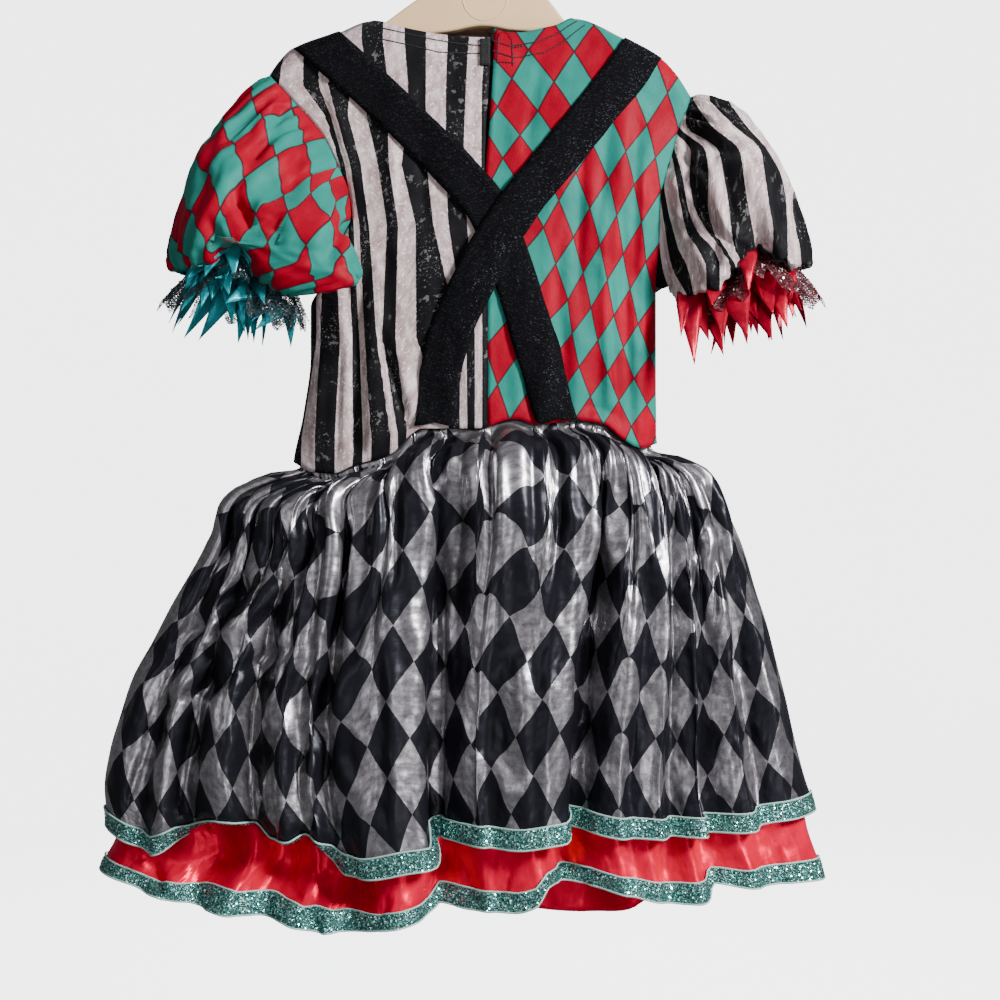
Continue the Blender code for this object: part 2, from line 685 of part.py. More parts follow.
def cuff_net(name, inner_edge, hang, material):
    """A short flared ruffle of net that starts inside the sleeve's cuff."""
    edge = resampled(inner_edge, SLEEVE_COLUMNS)
    drops = (-4, 4, 14, NET_DROP)
    outer = []
    for k, drop in enumerate(drops):
        ring = cuff_ring(edge, hang, drop, CUFF_FLARE * max(0.0, drop) / NET_DROP, 3.6)
        middle = sum(ring, Vector()) / len(ring)
        wave = 1.8 * k / (len(drops) - 1)
        line = []
        for j, point in enumerate(ring):
            out = (point - middle).normalized()
            line.append(point + out * wave * math.cos(math.pi * j))
        outer.append(line)
    middle = sum(outer[0], Vector()) / len(outer[0])
    normals = grid_normals(outer, True, (middle.x, middle.y))
    add_wall(name, outer, moved(outer, normals, -NET), True, material)


def cuff_points(name, inner_edge, hang, material):
    """A ruffle of pointed petals inside the net: a ring whose edge runs in long teeth."""
    count = CUFF_TEETH * 2
    edge = resampled(inner_edge, count)
    inset = 8.5
    outer = []
    for drop_valley, drop_tip in ((-2, -2), (8, 8), (16, 20), (TEETH_VALLEY_DROP, TEETH_TIP_DROP)):
        valley = cuff_ring(edge, hang, drop_valley, CUFF_FLARE * max(0, drop_valley) / NET_DROP, inset)
        tip = cuff_ring(edge, hang, drop_tip, CUFF_FLARE * max(0, drop_tip) / NET_DROP, inset)
        line = []
        for j in range(count):
            length = 0.85 + 0.15 * math.sin(2.7 * j)
            line.append(valley[j] if j % 2 else valley[j].lerp(tip[j], length))
        outer.append(line)
    middle = sum(outer[0], Vector()) / len(outer[0])
    normals = grid_normals(outer, True, (middle.x, middle.y))
    add_wall(name, outer, moved(outer, normals, -NET), True, material)


# ---- skirts --------------------------------------------------------------------------------
def fold_dip(folds, share, down, spread):
    """How far the skirt dips inward at a place; spread widens the folds for the layer inside."""
    dip = 0.0
    for at_hem, drift, depth, steep, gentle, full_at in folds:
        place = at_hem + drift * (1 - down)
        away = share - place
        width = (steep if away < 0 else gentle) + spread
        strength = ramp(0.02, full_at, down)
        dip = max(dip, depth * strength * math.exp(-((away / width) ** 2)))
    return dip


def gather_wave(share, down, count):
    """Small gathers below the waist, each of its own strength."""
    if down > GATHER_END:
        return 0.0
    phase = 2 * math.pi * count * share + 1.1 * math.sin(9 * share)
    strength = 0.7 + 0.3 * math.sin(17 * share + 1.0)
    rise = ramp(0.0, 0.06, down) * (1 - ramp(0.12, GATHER_END, down))
    return GATHER_HEIGHT * strength * math.cos(phase) * rise


def skirt_section(share, down, front, inset, spread, folds, gathers):
    """A point of a skirt's ring: share across from the left side seam, share of the way down."""
    left = through(SKIRT_RINGS, down, 1) + inset
    right = through(SKIRT_RINGS, down, 2) - inset
    depth = through(SKIRT_RINGS, down, 4 if front else 3) - inset
    at_waist = through(GATHER_MAP, share)
    across = mix(at_waist, share, min(1.0, down) ** 0.8)
    squareness = mix(PLAN_SQUARENESS, 2.0, min(1.0, down * 4))
    reach = 1 - abs(2 * across - 1)
    deep = max(0.0, 1 - (1 - reach) ** squareness) ** (1 / squareness)
    side = 1.0 if front else -1.0
    x = mix(left, right, across)
    y = side * depth * deep
    half = (right - left) / 2
    out = Vector(((2 * across - 1) / half, side * deep / depth, 0.0)).normalized()
    dip = fold_dip(folds, share, down, spread) + gather_wave(share, down, gathers)
    return Vector((x, y, 0.0)) - out * dip, out


def curl_strength(share):
    inside = ramp(CURL_FROM - CURL_FADE, CURL_FROM + CURL_FADE, share)
    return inside * (1 - ramp(CURL_TO - CURL_FADE, CURL_TO + CURL_FADE, share))


def outer_skirt_point(share, down, front):
    """A point of the outer skirt's outer face, its hem rolled under where it curls."""
    folds = FRONT_SKIRT_FOLDS if front else BACK_SKIRT_FOLDS
    gathers = FRONT_GATHERS if front else BACK_GATHERS
    point, out = skirt_section(share, down, front, 0.0, 0.0, folds, gathers)
    waist_x = mix(WAIST[0][0], WAIST[-1][0], through(GATHER_MAP, share))
    hem = through(OUTER_HEM_FRONT if front else OUTER_HEM_BACK, share)
    waist_z = through(WAIST, waist_x) + 2.0
    point.z = mix(waist_z, hem, down)
    turn = 0.0 if front else curl_strength(share) * CURL_TURN
    if turn > 0.01 and down > CURL_START:
        start, _ = skirt_section(share, CURL_START, front, 0.0, 0.0, folds, gathers)
        length = (waist_z - hem) * (1 - CURL_START)
        along = (down - CURL_START) / (1 - CURL_START)
        radius = length / turn
        point = start - out * radius * (1 - math.cos(turn * along))
        point.z = mix(waist_z, hem, CURL_START) - radius * math.sin(turn * along)
    return point


def under_skirt_point(share, down, front):
    """A point of the underskirt's outer face; past 1 it hangs below the outer skirt's hem."""
    folds = FRONT_SKIRT_FOLDS if front else BACK_SKIRT_FOLDS
    above = min(1.0, down)
    below = max(0.0, down - 1.0)
    inset = mix(3.0, UNDER_INSET, ramp(0.02, 0.08, down))
    inset = mix(inset, UNDER_HEM_INSET, ramp(0.3, 0.9, down))
    if not front:
        rolled = max(curl_strength(share - CURL_FADE), curl_strength(share + CURL_FADE))
        inset += UNDER_CURL_INSET * rolled * ramp(0.6, 0.93, down)
    inset *= 1 - 0.9 * ramp(0.2, 1.0, below)
    point, _ = skirt_section(share, above + 0.3 * below, front, inset, 0.014, folds, 0)
    waist_x = mix(WAIST[0][0], WAIST[-1][0], through(GATHER_MAP, share))
    outer_hem = through(OUTER_HEM_FRONT if front else OUTER_HEM_BACK, share)
    under_hem = through(UNDER_HEM_FRONT if front else UNDER_HEM_BACK, share)
    if below:
        point.z = mix(outer_hem, under_hem, below)
    else:
        point.z = mix(through(WAIST, waist_x) + 2.0, outer_hem, above)
    return point


def shares_across(columns):
    """Places across a panel, closer together where it turns at its side seams."""
    places = []
    for j in range(columns + 1):
        even = j / columns
        angle = math.pi * even + 0.22 * math.sin(2 * math.pi * even)
        places.append((1 - math.cos(angle)) / 2)
    return places


def skirt_panel(point_at, rows, columns, front, thickness):
    """Outer and inner points of half a skirt, square and half a gap off at its side seams."""
    outer = [[point_at(share, down, front) for share in shares_across(columns)] for down in rows]
    normals = grid_normals(outer, False, (0.0, 0.0))
    flatten_seam(normals, 0, 1)
    flatten_seam(normals, -1, 1)
    inner = moved(outer, normals, -thickness)
    side = 1 if front else -1
    for grid in (outer, inner):
        keep_beyond(grid, 1, side * SEAM_GAP / 2, side)
    return outer, inner, normals


def ribbon(name, outer, normals, first_row, front, material):
    """Ribbon on a panel's lowest rows, made from the panel's own points moved out."""
    base = outer[first_row:]
    ways = normals[first_row:]
    low = moved(base, ways, SEAM_GAP)
    high = moved(base, ways, SEAM_GAP + RIBBON)
    side = 1 if front else -1
    for grid in (low, high):
        keep_beyond(grid, 1, side * SEAM_GAP / 2, side)
    add_wall(name, high, low, False, material)


def make_skirts(materials):
    """Outer skirt and underskirt, each a back and a front panel with a ribbon at its hem."""
    for front in (False, True):
        place = "front" if front else "back"
        columns = SKIRT_FRONT_COLUMNS if front else SKIRT_BACK_COLUMNS
        rows = SKIRT_FRONT_ROWS if front else SKIRT_BACK_ROWS
        outer, inner, normals = skirt_panel(outer_skirt_point, rows, columns, front, SATIN)
        add_wall("skirt_outer_" + place, outer, inner, False, materials["satin_harlequin"])
        first = rows.index(RIBBON_START)
        ribbon("trim_outer_" + place, outer, normals, first, front, materials["glitter_ribbon"])
        columns = UNDER_FRONT_COLUMNS if front else UNDER_BACK_COLUMNS
        rows = list(UNDER_ROWS) + [1.0 + tail for tail in UNDER_TAIL_ROWS]
        outer, inner, normals = skirt_panel(under_skirt_point, rows, columns, front, SATIN)
        add_wall("underskirt_" + place, outer, inner, False, materials["red_satin"])
        first = len(rows) - 2
        ribbon("trim_under_" + place, outer, normals, first, front, materials["glitter_ribbon"])


# ---- straps --------------------------------------------------------------------------------
def surface_finder(panels):
    """A function that gives the bodice's outer face at (x, z) on one side, and its normal."""
    trees = {}
    for front in (False, True):
        points = []
        faces = []
        for outer in panels[front]:
            base = len(points)
            columns = len(outer[0])
            points += [p for line in outer for p in line]
            for i in range(len(outer) - 1):
                for j in range(columns - 1):
                    corner = base + i * columns + j
                    faces.append((corner, corner + 1, corner + columns + 1, corner + columns))
        trees[front] = BVHTree.FromPolygons([tuple(p) for p in points], faces)

    def find(x, z, front):
        side = 1.0 if front else -1.0
        for aside in (0.0, SEAM_GAP, -SEAM_GAP):
            start = Vector((x + aside, side * 300.0, z))
            hit, normal, _, _ = trees[front].ray_cast(start, Vector((0, -side, 0)))
            if hit is not None:
                break
        else:
            hit, normal, _, _ = trees[front].find_nearest(Vector((x, side * 30.0, z)))
        if normal.y * side < 0:
            normal = -normal
        return hit, normal

    return find


def strap_line(table, steps, front):
    """Even sections along a strap's middle line: middle, direction across, half width."""
    rows = [(i, *row) for i, row in enumerate(table)]
    places = [k / steps * (len(table) - 1) for k in range(steps + 1)]
    middles = [Vector((through(rows, p, 1), 0, through(rows, p, 2))) for p in places]
    sections = []
    for k, middle in enumerate(middles):
        along = middles[min(k + 1, steps)] - middles[max(k - 1, 0)]
        across = Vector((-along.z, 0, along.x)).normalized() * (-1 if front else 1)
        sections.append((middle, across, through(rows, places[k], 3)))
    return sections


def strap_on_side(table, steps, front, over, find):
    """Inner and outer points of the stretch of a strap that lies on one side of the bodice."""
    low, high = [], []
    for middle, across, half in strap_line(table, steps, front):
        low_line, high_line = [], []
        for offset in STRAP_COLUMNS:
            place = middle + across * half * offset
            hit, normal = find(place.x, place.z, front)
            lift = STRAP_LIFT
            if over and not front:
                near = math.hypot(place.x - STRAP_CROSS[0], place.z - STRAP_CROSS[1])
                inside = ramp(STRAP_CROSS_REACH * 0.6, STRAP_CROSS_REACH, near)
                lift += STRAP_CROSS_LIFT * (1 - inside)
            low_line.append(hit + normal * lift)
            high_line.append(hit + normal * (lift + ELASTIC))
        low.append(low_line)
        high.append(high_line)
    return low, high


def strap_on_shoulder(fold, back, front, find):
    """The stretch that turns over the shoulder, between the last back and first front sections."""
    edges = [(x, through(HANG_LINE, x)) for x in (fold[1], (fold[0] + fold[1]) / 2, fold[0])]
    low, high = [], []
    for share in SHOULDER_SHARES:
        section = front if share > 0 else back
        low_line, high_line = [], []
        for (x, z), side_point in zip(edges, section):
            place_x = mix(x, side_point.x, abs(share))
            place_z = mix(z, side_point.z, abs(share))
            point, normal = Vector((x, 0.0, z)), Vector((0.0, 0.0, 1.0))
            if share:
                point, normal = find(place_x, place_z, share > 0)
            low_line.append(point + normal * SHOULDER_LIFT)
            high_line.append(point + normal * (SHOULDER_LIFT + ELASTIC))
        low.append(low_line)
        high.append(high_line)
    return low, high


def strap(name, back_table, fold, front_table, over, find, material):
    """A strap laid on the bodice from the back waist, over the shoulder, to the front waist."""
    back = strap_on_side(back_table, STRAP_BACK_STEPS, False, over, find)
    front = strap_on_side(front_table, STRAP_FRONT_STEPS, True, over, find)
    shoulder = strap_on_shoulder(fold, back[0][-1], front[0][0], find)
    stretches = (back, shoulder, front)
    low = [line for stretch in stretches for line in stretch[0]]
    high = [line for stretch in stretches for line in stretch[1]]
    add_wall(name, high, low, False, material)


# ---- closure -------------------------------------------------------------------------------
def tab(name, left_x, right_x, top_z, bottom_z, lift, thickness, find, material):
    """A small tab that lies on or under the back panels at the opening."""
    low, high = [], []
    for i in range(4):
        z = mix(top_z, bottom_z, i / 3)
        low_line, high_line = [], []
        for j in range(3):
            x = mix(left_x, right_x, j / 2)
            hit, _ = find(min(x, CENTRE_X - 1.0), z, False)
            low_line.append(Vector((x, hit.y - lift, z)))
            high_line.append(Vector((x, hit.y - lift - thickness, z)))
        low.append(low_line)
        high.append(high_line)
    add_wall(name, high, low, False, material)


# ---- hanger --------------------------------------------------------------------------------
# outline of the moulded body: x, top z, bottom z
HANGER_BODY = (
    (-146, -140, -147), (-139, -130, -152), (-110, -118, -140), (-82, -108, -122),
    (-72, -101, -116), (-55, -88.5, -111), (-38, -76, -109), (-22, -61, -107),
    (-8, -52, -104), (0, -51, -103), (8, -52, -103.5), (22, -59, -106), (38, -69, -107),
    (52, -84, -105), (62, -97, -107), (70, -105, -111), (79, -108, -118), (105, -121, -140),
    (132, -136, -156), (141, -148, -162), (145, -155, -165),
)


def hanger_body(material):
    """Flat moulded hanger: its outline extruded front to back, its edges rounded."""
    outline = [(x, low) for x, _, low in HANGER_BODY]
    outline += [(x, high) for x, high, _ in reversed(HANGER_BODY)]
    flat = HANGER_HALF_DEPTH - HANGER_EDGE
    sections = (
        (-HANGER_HALF_DEPTH, HANGER_EDGE), (-flat, 0.0), (flat, 0.0),
        (HANGER_HALF_DEPTH, HANGER_EDGE),
    )
    count = len(outline)
    points = []
    for y, shrink in sections:
        for k, (x, z) in enumerate(outline):
            before = Vector(outline[k - 1])
            after = Vector(outline[(k + 1) % count])
            along = (after - before).normalized()
            inward = Vector((-along.y, along.x))
            points.append(Vector((x + inward.x * shrink, y, z + inward.y * shrink)) * MM)
    faces = [list(range(count)), [3 * count + k for k in reversed(range(count))]]
    for layer in range(3):
        for k in range(count):
            following = (k + 1) % count
            base = layer * count
            faces.append([base + following, base + k, base + count + k, base + count + following])
    mesh = bpy.data.meshes.new("hanger_body")
    mesh.from_pydata([tuple(p) for p in points], [], faces)
    add_piece("hanger_body", mesh, material)


def hanger_hook(material):
    """Wire hook whose inner top is the origin, standing on the body's top."""
    ring = HOOK_INNER_RADIUS + HOOK_WIRE_RADIUS
    route = [(0.0, -50.5), (0.0, -47.5), (3.0, -44.0)]
    for degrees in range(-62, 201, 16):
        angle = math.radians(degrees)
        route.append((ring * math.cos(angle), -HOOK_INNER_RADIUS + ring * math.sin(angle)))
    data = bpy.data.curves.new("hanger_hook", "CURVE")
    data.dimensions = "3D"
    data.bevel_depth = HOOK_WIRE_RADIUS * MM
    data.bevel_resolution = 2
    data.use_fill_caps = True
    spline = data.splines.new("POLY")
    spline.points.add(len(route) - 1)
    for point, (x, z) in zip(spline.points, route):
        point.co = (x * MM, 0.0, z * MM, 1.0)
    data.materials.append(material)
    piece = bpy.data.objects.new("hanger_hook", data)
    bpy.context.scene.collection.objects.link(piece)


# ---- the whole part ------------------------------------------------------------------------
def main():
    for old in list(bpy.data.objects):
        bpy.data.objects.remove(old, do_unlink=True)
    materials = make_materials()
    hanger_body(materials["hanger_plastic"])
    hanger_hook(materials["hook_steel"])
    panels = {}
    for left in (True, False):
        for front in (False, True):
            panel = bodice_panel(left, front)
            panels[left, front] = panel
            name = "bodice_" + ("front" if front else "back") + ("_left" if left else "_right")
            cloth = materials["stripe_jersey" if left else "diamond_jersey"]
            add_wall(name, panel[0], panel[1], False, cloth)
    for left in (True, False):
        side = "left" if left else "right"
        hang = LEFT_CUFF_HANG if left else RIGHT_CUFF_HANG
        cloth = materials["diamond_jersey" if left else "stripe_jersey"]
        petals = materials["teal_satin" if left else "red_satin"]
        cuff = sleeve("sleeve_" + side, left, panels[left, False], panels[left, True], cloth)
        cuff_net("cuff_net_" + side, cuff, hang, materials["glitter_net"])
        cuff_points("cuff_points_" + side, cuff, hang, petals)
    find = surface_finder({
        front: [panels[left, front][0] for left in (True, False)] for front in (False, True)
    })
    elastic = materials["glitter_elastic"]
    strap("strap_left", LEFT_STRAP_BACK, LEFT_STRAP_FOLD, LEFT_STRAP_FRONT, False, find, elastic)
    strap("strap_right", RIGHT_STRAP_BACK, RIGHT_STRAP_FOLD, RIGHT_STRAP_FRONT, True, find, elastic)
    tab("closure_hook_tab", -1.5, 5.5, -115, -135, 0.6, 1.4, find, materials["hook_loop"])
    tab("closure_loop_tab", -1.5, 12.0, -115, -135, -3.4, 1.4, find, materials["hook_loop"])
    make_skirts(materials)


main()
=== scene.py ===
"""Finishes the clown costume dress on its hanger: printed jersey and satin, sewing, glitter and net.

Lengths in tables and functions are millimetres unless a name says otherwise; meshes are in metres.
The dress hangs with its back towards -Y. A panel is a grid of points: rows go up or down the cloth,
columns go across it, and each point has its place in the flat cloth as its UV, in metres.
"""

import functools
import json
import math

import bpy
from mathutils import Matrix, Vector, noise
from mathutils.bvhtree import BVHTree


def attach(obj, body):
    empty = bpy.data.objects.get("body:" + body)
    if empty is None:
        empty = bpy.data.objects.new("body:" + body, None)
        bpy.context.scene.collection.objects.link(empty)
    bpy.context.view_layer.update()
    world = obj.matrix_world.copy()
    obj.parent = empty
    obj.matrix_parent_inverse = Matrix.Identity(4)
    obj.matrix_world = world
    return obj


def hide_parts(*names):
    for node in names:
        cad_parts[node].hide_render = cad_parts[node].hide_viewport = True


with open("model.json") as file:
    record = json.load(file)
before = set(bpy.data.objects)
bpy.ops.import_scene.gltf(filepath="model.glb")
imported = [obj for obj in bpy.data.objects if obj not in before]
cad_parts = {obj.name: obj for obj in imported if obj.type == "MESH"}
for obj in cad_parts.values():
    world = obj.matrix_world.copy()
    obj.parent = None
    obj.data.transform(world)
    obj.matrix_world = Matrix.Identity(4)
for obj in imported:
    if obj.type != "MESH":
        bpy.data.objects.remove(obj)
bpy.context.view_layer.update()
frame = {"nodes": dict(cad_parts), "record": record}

bl_info = {
    "name": "Clown Costume Dress",
    "version": (1, 0, 0),
    "blender": (4, 5, 0),
    "location": "View3D > Sidebar > Costume",
    "description": "Makes the cloth, sewing and finishes of a harlequin costume dress on its hanger",
    "category": "Add Mesh",
}

MM = 0.001
SEAM_GAP = 0.3             # between pieces that are sewn together
SEAM_LAP, SEAM_DRAW = 1.7, 1.2      # how far the front's side edges reach under the back's
CENTRE_X = 6.0             # back opening and centre-front seam
WAIST_CENTRE_Z = -404.0
PLAN_SQUARENESS = 2.4      # plan sections of the bodice are superellipses of this power
SHOULDER_ROUND = 16.0      # how far below the hang line the cloth reaches its full depth
VIEWER = 1350.0            # how far in front of the dress the viewer stands
VIEW_X, VIEW_Z = 15.0, -457.5
SIDES = ((True, "left"), (False, "right"))

# ---- bodice: share of the way up, x, z, depth of the armhole's edge ----
LEFT_EDGE = (
    (0, -140, -429, 0), (0.12, -132, -390, 0), (0.25, -127, -350, 0), (0.40, -127, -312, 0),
    (0.44, -122, -302, 0), (0.48, -119, -294, 13), (0.53, -111, -279, 14), (0.58, -102, -263, 15),
    (0.64, -95, -247, 15), (0.70, -97, -229, 15), (0.78, -107, -206, 14), (0.85, -117, -186, 13),
    (0.91, -131, -169, 11), (0.955, -142, -157, 11), (1, -158, -139, 9),
)
RIGHT_EDGE = (
    (0, 133, -415, 0), (0.15, 132, -375, 0), (0.28, 132, -337, 0), (0.40, 132, -302, 0),
    (0.50, 133, -273, 10), (0.62, 134, -238, 14), (0.68, 137, -222, 14), (0.76, 143, -200, 13),
    (0.83, 148, -181, 11), (0.90, 154, -167, 11), (1, 158, -155, 9),
)
UNDERARM = {True: 0.44, False: 0.40}      # left, right
# x, z along each shoulder, then each panel's upper edge and the line over the hanger
SHOULDER_LEFT = ((-158, -139), (-151, -129), (-141, -119), (-107, -107.5), (-82, -98.5))
SHOULDER_RIGHT = ((70, -96.5), (109, -112), (136, -126.5), (147, -138), (158, -155))
BACK_TOP_LEFT = (
    *SHOULDER_LEFT, (-75, -100), (-60, -105), (-25, -111.5), (-8, -113), (6, -113.5))
BACK_TOP_RIGHT = (
    (6, -106.5), (17, -109.5), (27, -109.5), (48, -106), (58, -103.5), *SHOULDER_RIGHT)
FRONT_TOP_LEFT = (*SHOULDER_LEFT, (-70, -99.5), (-40, -100.5), (6, -101))
FRONT_TOP_RIGHT = ((6, -101), (40, -100), (58, -98), *SHOULDER_RIGHT)
HANG_LINE = (*SHOULDER_LEFT, (-40, -84), (0, -80), (40, -84), *SHOULDER_RIGHT)
WAIST = (
    (-140, -429), (-123, -437), (-109, -438), (-93, -432), (-64, -423), (-50, -409),
    (-42, -405), (-2, -405), (26, -398), (41, -402), (72, -399), (92, -402), (106, -413),
    (120, -419), (133, -415),
)
# share of the way up, back, front
BODICE_DEPTH = (
    (0, 32, 26), (0.2, 33, 27), (0.4, 31, 25), (0.6, 26, 20), (0.8, 19, 15), (0.9, 15, 12),
    (1, 11, 10),
)
# x at the waist, x at the chest, depth, half width
BACK_FOLDS = (
    (-118, -112, 4, 7), (-92, -82, 5, 8), (-30, -30, 2.2, 7), (20, 24, 2.2, 7),
    (60, 66, 2.2, 8), (88, 84, 4.5, 8), (112, 106, 4, 7),
)
FRONT_FOLDS = (
    (-104, -96, 4, 8), (-50, -44, 3, 9), (34, 30, 3, 9), (92, 88, 4, 8),
)
# creases: x z at one end, x z at the other, half width, depth; a negative depth is a ridge
BACK_CREASES = (
    (-118, -150, -96, -235, 3, 2), (-112, -150, -90, -235, 5, -1.6),
    (-101, -262, -93, -345, 3, 2.2), (-88, -300, -91, -425, 3, 2.4),
    (-80, -300, -78, -425, 5, -1.8), (-70, -262, -66, -330, 4, 1.2),
    (-74, -330, -52, -405, 3.2, 2.6), (-62, -340, -46, -402, 4.5, -1.8),
    (-116, -345, -122, -432, 4.5, -1.8), (-103, -345, -106, -432, 3, 1.8),
    (-126, -330, -134, -425, 2.5, 1.5), (-92, -348, -58, -362, 4, 0.9),
    (-38, -352, -44, -402, 3, 1.6), (-20, -330, -14, -400, 3.5, 1.5),
    (20, -120, 62, -148, 6, 0.9), (30, -150, 78, -140, 6, 0.7),
    (12, -130, 20, -215, 6, 0.9), (52, -190, 30, -235, 7, -0.9),
    (98, -165, 88, -250, 4, 1.6), (108, -170, 100, -290, 5, -1.5),
    (118, -175, 112, -300, 4, 1.4), (70, -215, 76, -330, 4.5, 1.3),
    (84, -225, 88, -350, 5.5, -1.2), (96, -300, 104, -405, 3.6, 1.8),
    (112, -300, 118, -410, 5, -1.6), (125, -290, 126, -400, 2.8, 1.3),
    (78, -175, 72, -300, 3.2, 1.8), (104, -230, 112, -380, 3, 1.8),
    (90, -240, 96, -390, 3.5, -1.6), (120, -200, 122, -380, 3, -1.4),
    (58, -270, 60, -390, 3.2, 1.4), (44, -130, 34, -200, 3.5, 1.2),
    (-44, -150, -40, -260, 4, 1), (-68, -170, -60, -290, 4, -1.2),
    (62, -330, 66, -396, 4, 1.6), (52, -340, 42, -398, 4.5, -1.4),
    (30, -350, 38, -398, 3.4, 1.5), (78, -388, 104, -396, 4, 1.6), (14, -300, 10, -395, 4, 1),
)
FRONT_CREASES = (
    (-124, -170, -92, -250, 5, 1.5), (-98, -300, -104, -425, 4, 1.8),
    (-72, -270, -62, -420, 4.5, 1.4), (-40, -300, -46, -405, 4, 1.4),
    (-20, -350, -14, -404, 4, 1.2), (18, -340, 24, -402, 4.5, 1.4),
    (48, -290, 44, -400, 4, 1.3), (80, -320, 92, -402, 4, 1.7),
    (110, -300, 116, -410, 4, 1.5), (122, -170, 100, -260, 6, 1.4),
    (-60, -130, -10, -150, 8, 0.8), (30, -140, 76, -128, 8, 0.8),
)
# where the printed stripes' edges lie on the back: z, then x of each edge outwards from the opening
STRIPE = 16.0
STRIPE_PLACES = (
    (-116, 3.5, -8, -24, -40, -56, -72, -88, -104, -112, -120, -131, -146, -158, -169, -180),
    (-150, 1.4, -10, -25, -40, -53, -68, -81, -96, -113, -119, -131, -150, -163, -175, -188),
    (-172, 1.2, -11, -25, -40, -53, -68, -84, -98, -107, -111, -114, -129, -142, -155, -165),
    (-210, 1.2, -12, -25, -39, -58, -67, -75, -88, -96, -100, -103, -112, -124, -135, -142),
    (-255, 1, -9, -23, -34, -47, -60, -68, -82, -89, -93, -97, -107, -116, -122, -127),
    (-338, 1, -3, -10, -14, -47, -62, -72, -75, -85, -89, -94, -103, -119, -121, -128),
    (-410, 1, -3, -9, -14, -20, -54, -60, -65, -80, -86, -93, -107, -122, -133, -139),
)

# where every second row of the printed diamonds lies: z near the opening, its slope outwards,
# then x of each column
DIAMOND_PLACES = (
    (-122, -0.05, 3, 36, 70, 101, 130, 156), (-166, -0.12, 13, 43, 71, 98, 124, 148),
    (-204, -0.20, 17, 46, 71, 95, 114, 134), (-246, -0.31, 20, 47, 69, 88.5, 106, 123),
    (-293, -0.32, 16, 43, 65, 82, 99, 117), (-347, -0.20, 4, 29, 52, 73, 94, 114),
    (-398, -0.05, -2, 22, 46, 68, 91, 112),
)
DIAMOND_WIDTH, DIAMOND_HEIGHT = 30.0, 46.0
DIAMOND_DOWN, DIAMOND_ACROSS = 48.0, 22.0      # steps of the table, used past its ends
OPEN_FROM, OPEN_TO = -232.0, -104.0            # z of the back opening's loose stretch

# ---- sleeves: share of the way, outer x y z, inner x y z, half depth near, half depth far ----
LEFT_SLEEVE = (
    (0, -158, 0, -139, -122, 0, -302, 15, 12), (0.06, -166, -2, -145, -121, -12, -304, 22, 15),
    (0.12, -174, -4, -153, -120, -22, -305, 29, 18), (0.25, -193, -12, -179, -118, -34, -306, 38, 22),
    (0.40, -207, -20, -200, -117, -42, -306, 43, 24), (0.55, -216, -26, -232, -116, -46, -305, 45, 25),
    (0.70, -223, -31, -262, -116, -49, -304, 44, 24), (0.82, -226, -34, -279, -117, -51, -304, 40, 22),
    (0.92, -222, -36, -290, -120, -52, -305, 33, 18), (1, -211, -37, -291, -126, -49, -308, 22, 14),
)
RIGHT_SLEEVE = (
    (0, 158, 0, -155, 132, 0, -302, 15, 12), (0.06, 164, 0, -155, 137, -1, -300, 20, 16),
    (0.12, 172, 0, -157, 141.5, -2, -300, 25, 20), (0.25, 189, -2, -164, 144, -5, -303, 34, 25),
    (0.40, 207, -4, -182, 145, -8, -306, 40, 29), (0.55, 221, -7, -206, 147, -11, -309, 43, 31),
    (0.70, 232, -10, -236, 150, -13, -310, 43, 31), (0.82, 241, -12, -266, 154, -14, -308, 39, 28),
    (0.92, 243, -13, -282, 159, -15, -305, 32, 22), (1, 236, -14, -285, 167, -15, -301, 22, 16),
)
LEFT_CINCH = (
    (0, 0), (0.24, 2), (0.36, 11), (0.45, 23), (0.52, 22), (0.59, 8), (0.68, 0),
    (0.78, -7), (0.87, -10), (0.94, -2), (1, 0),
)
RIGHT_CINCH = (
    (0, 0), (0.13, 0), (0.33, 8), (0.49, 21), (0.65, 12), (0.76, 3), (0.82, -4), (1, 0),
)
# creases of the sleeves as the viewer sees them
LEFT_SLEEVE_CREASES = (
    (-140, -158, -158, -182, 3.5, 3), (-158, -182, -170, -203, 4.5, 4.2),
    (-170, -203, -186, -224, 4, 3.2), (-150, -155, -168, -184, 4, -2.2),
    (-186, -226, -173, -248, 4, 3.4), (-174, -246, -169, -262, 4, 4),
    (-165, -232, -160, -262, 4, -2.4), (-152, -240, -152, -268, 4, 3.6),
    (-144, -236, -147, -270, 4, -2), (-132, -180, -144, -238, 5, 2),
    (-101, -250, -116, -279, 4.5, 3.2), (-112, -240, -128, -272, 5, -2),
    (-196, -190, -212, -232, 5, 2.2), (-186, -170, -204, -214, 5, -2),
    (-205, -245, -196, -268, 4, 2.6), (-133, -152, -142, -172, 2, 2.4),
    (-138, -150, -152, -166, 2, 2), (-146, -144, -166, -160, 2.4, 1.8),
)
RIGHT_SLEEVE_CREASES = (
    (150, -172, 158, -212, 4, 3.6), (158, -212, 168, -246, 4, 3.4),
    (166, -240, 190, -268, 4, 4.2), (144, -200, 152, -250, 4, -2.2),
    (160, -178, 180, -196, 4, 2.4), (180, -194, 210, -201, 3.5, 2.6),
    (168, -170, 204, -194, 4.5, -2.2), (174, -205, 184, -250, 5, -2.2),
    (183, -210, 190, -250, 4, 2), (206, -250, 214, -276, 4, 3.2),
    (214, -215, 220, -262, 5, -1.8), (137, -225, 141, -290, 4, 2.2),
    (160, -260, 172, -290, 4.5, -2.4), (176, -262, 178, -286, 3.5, 2.6),
    (152, -166, 168, -170, 2.2, 2), (150, -176, 166, -186, 2.2, 2), (228, -240, 232, -270, 4, 2),
)
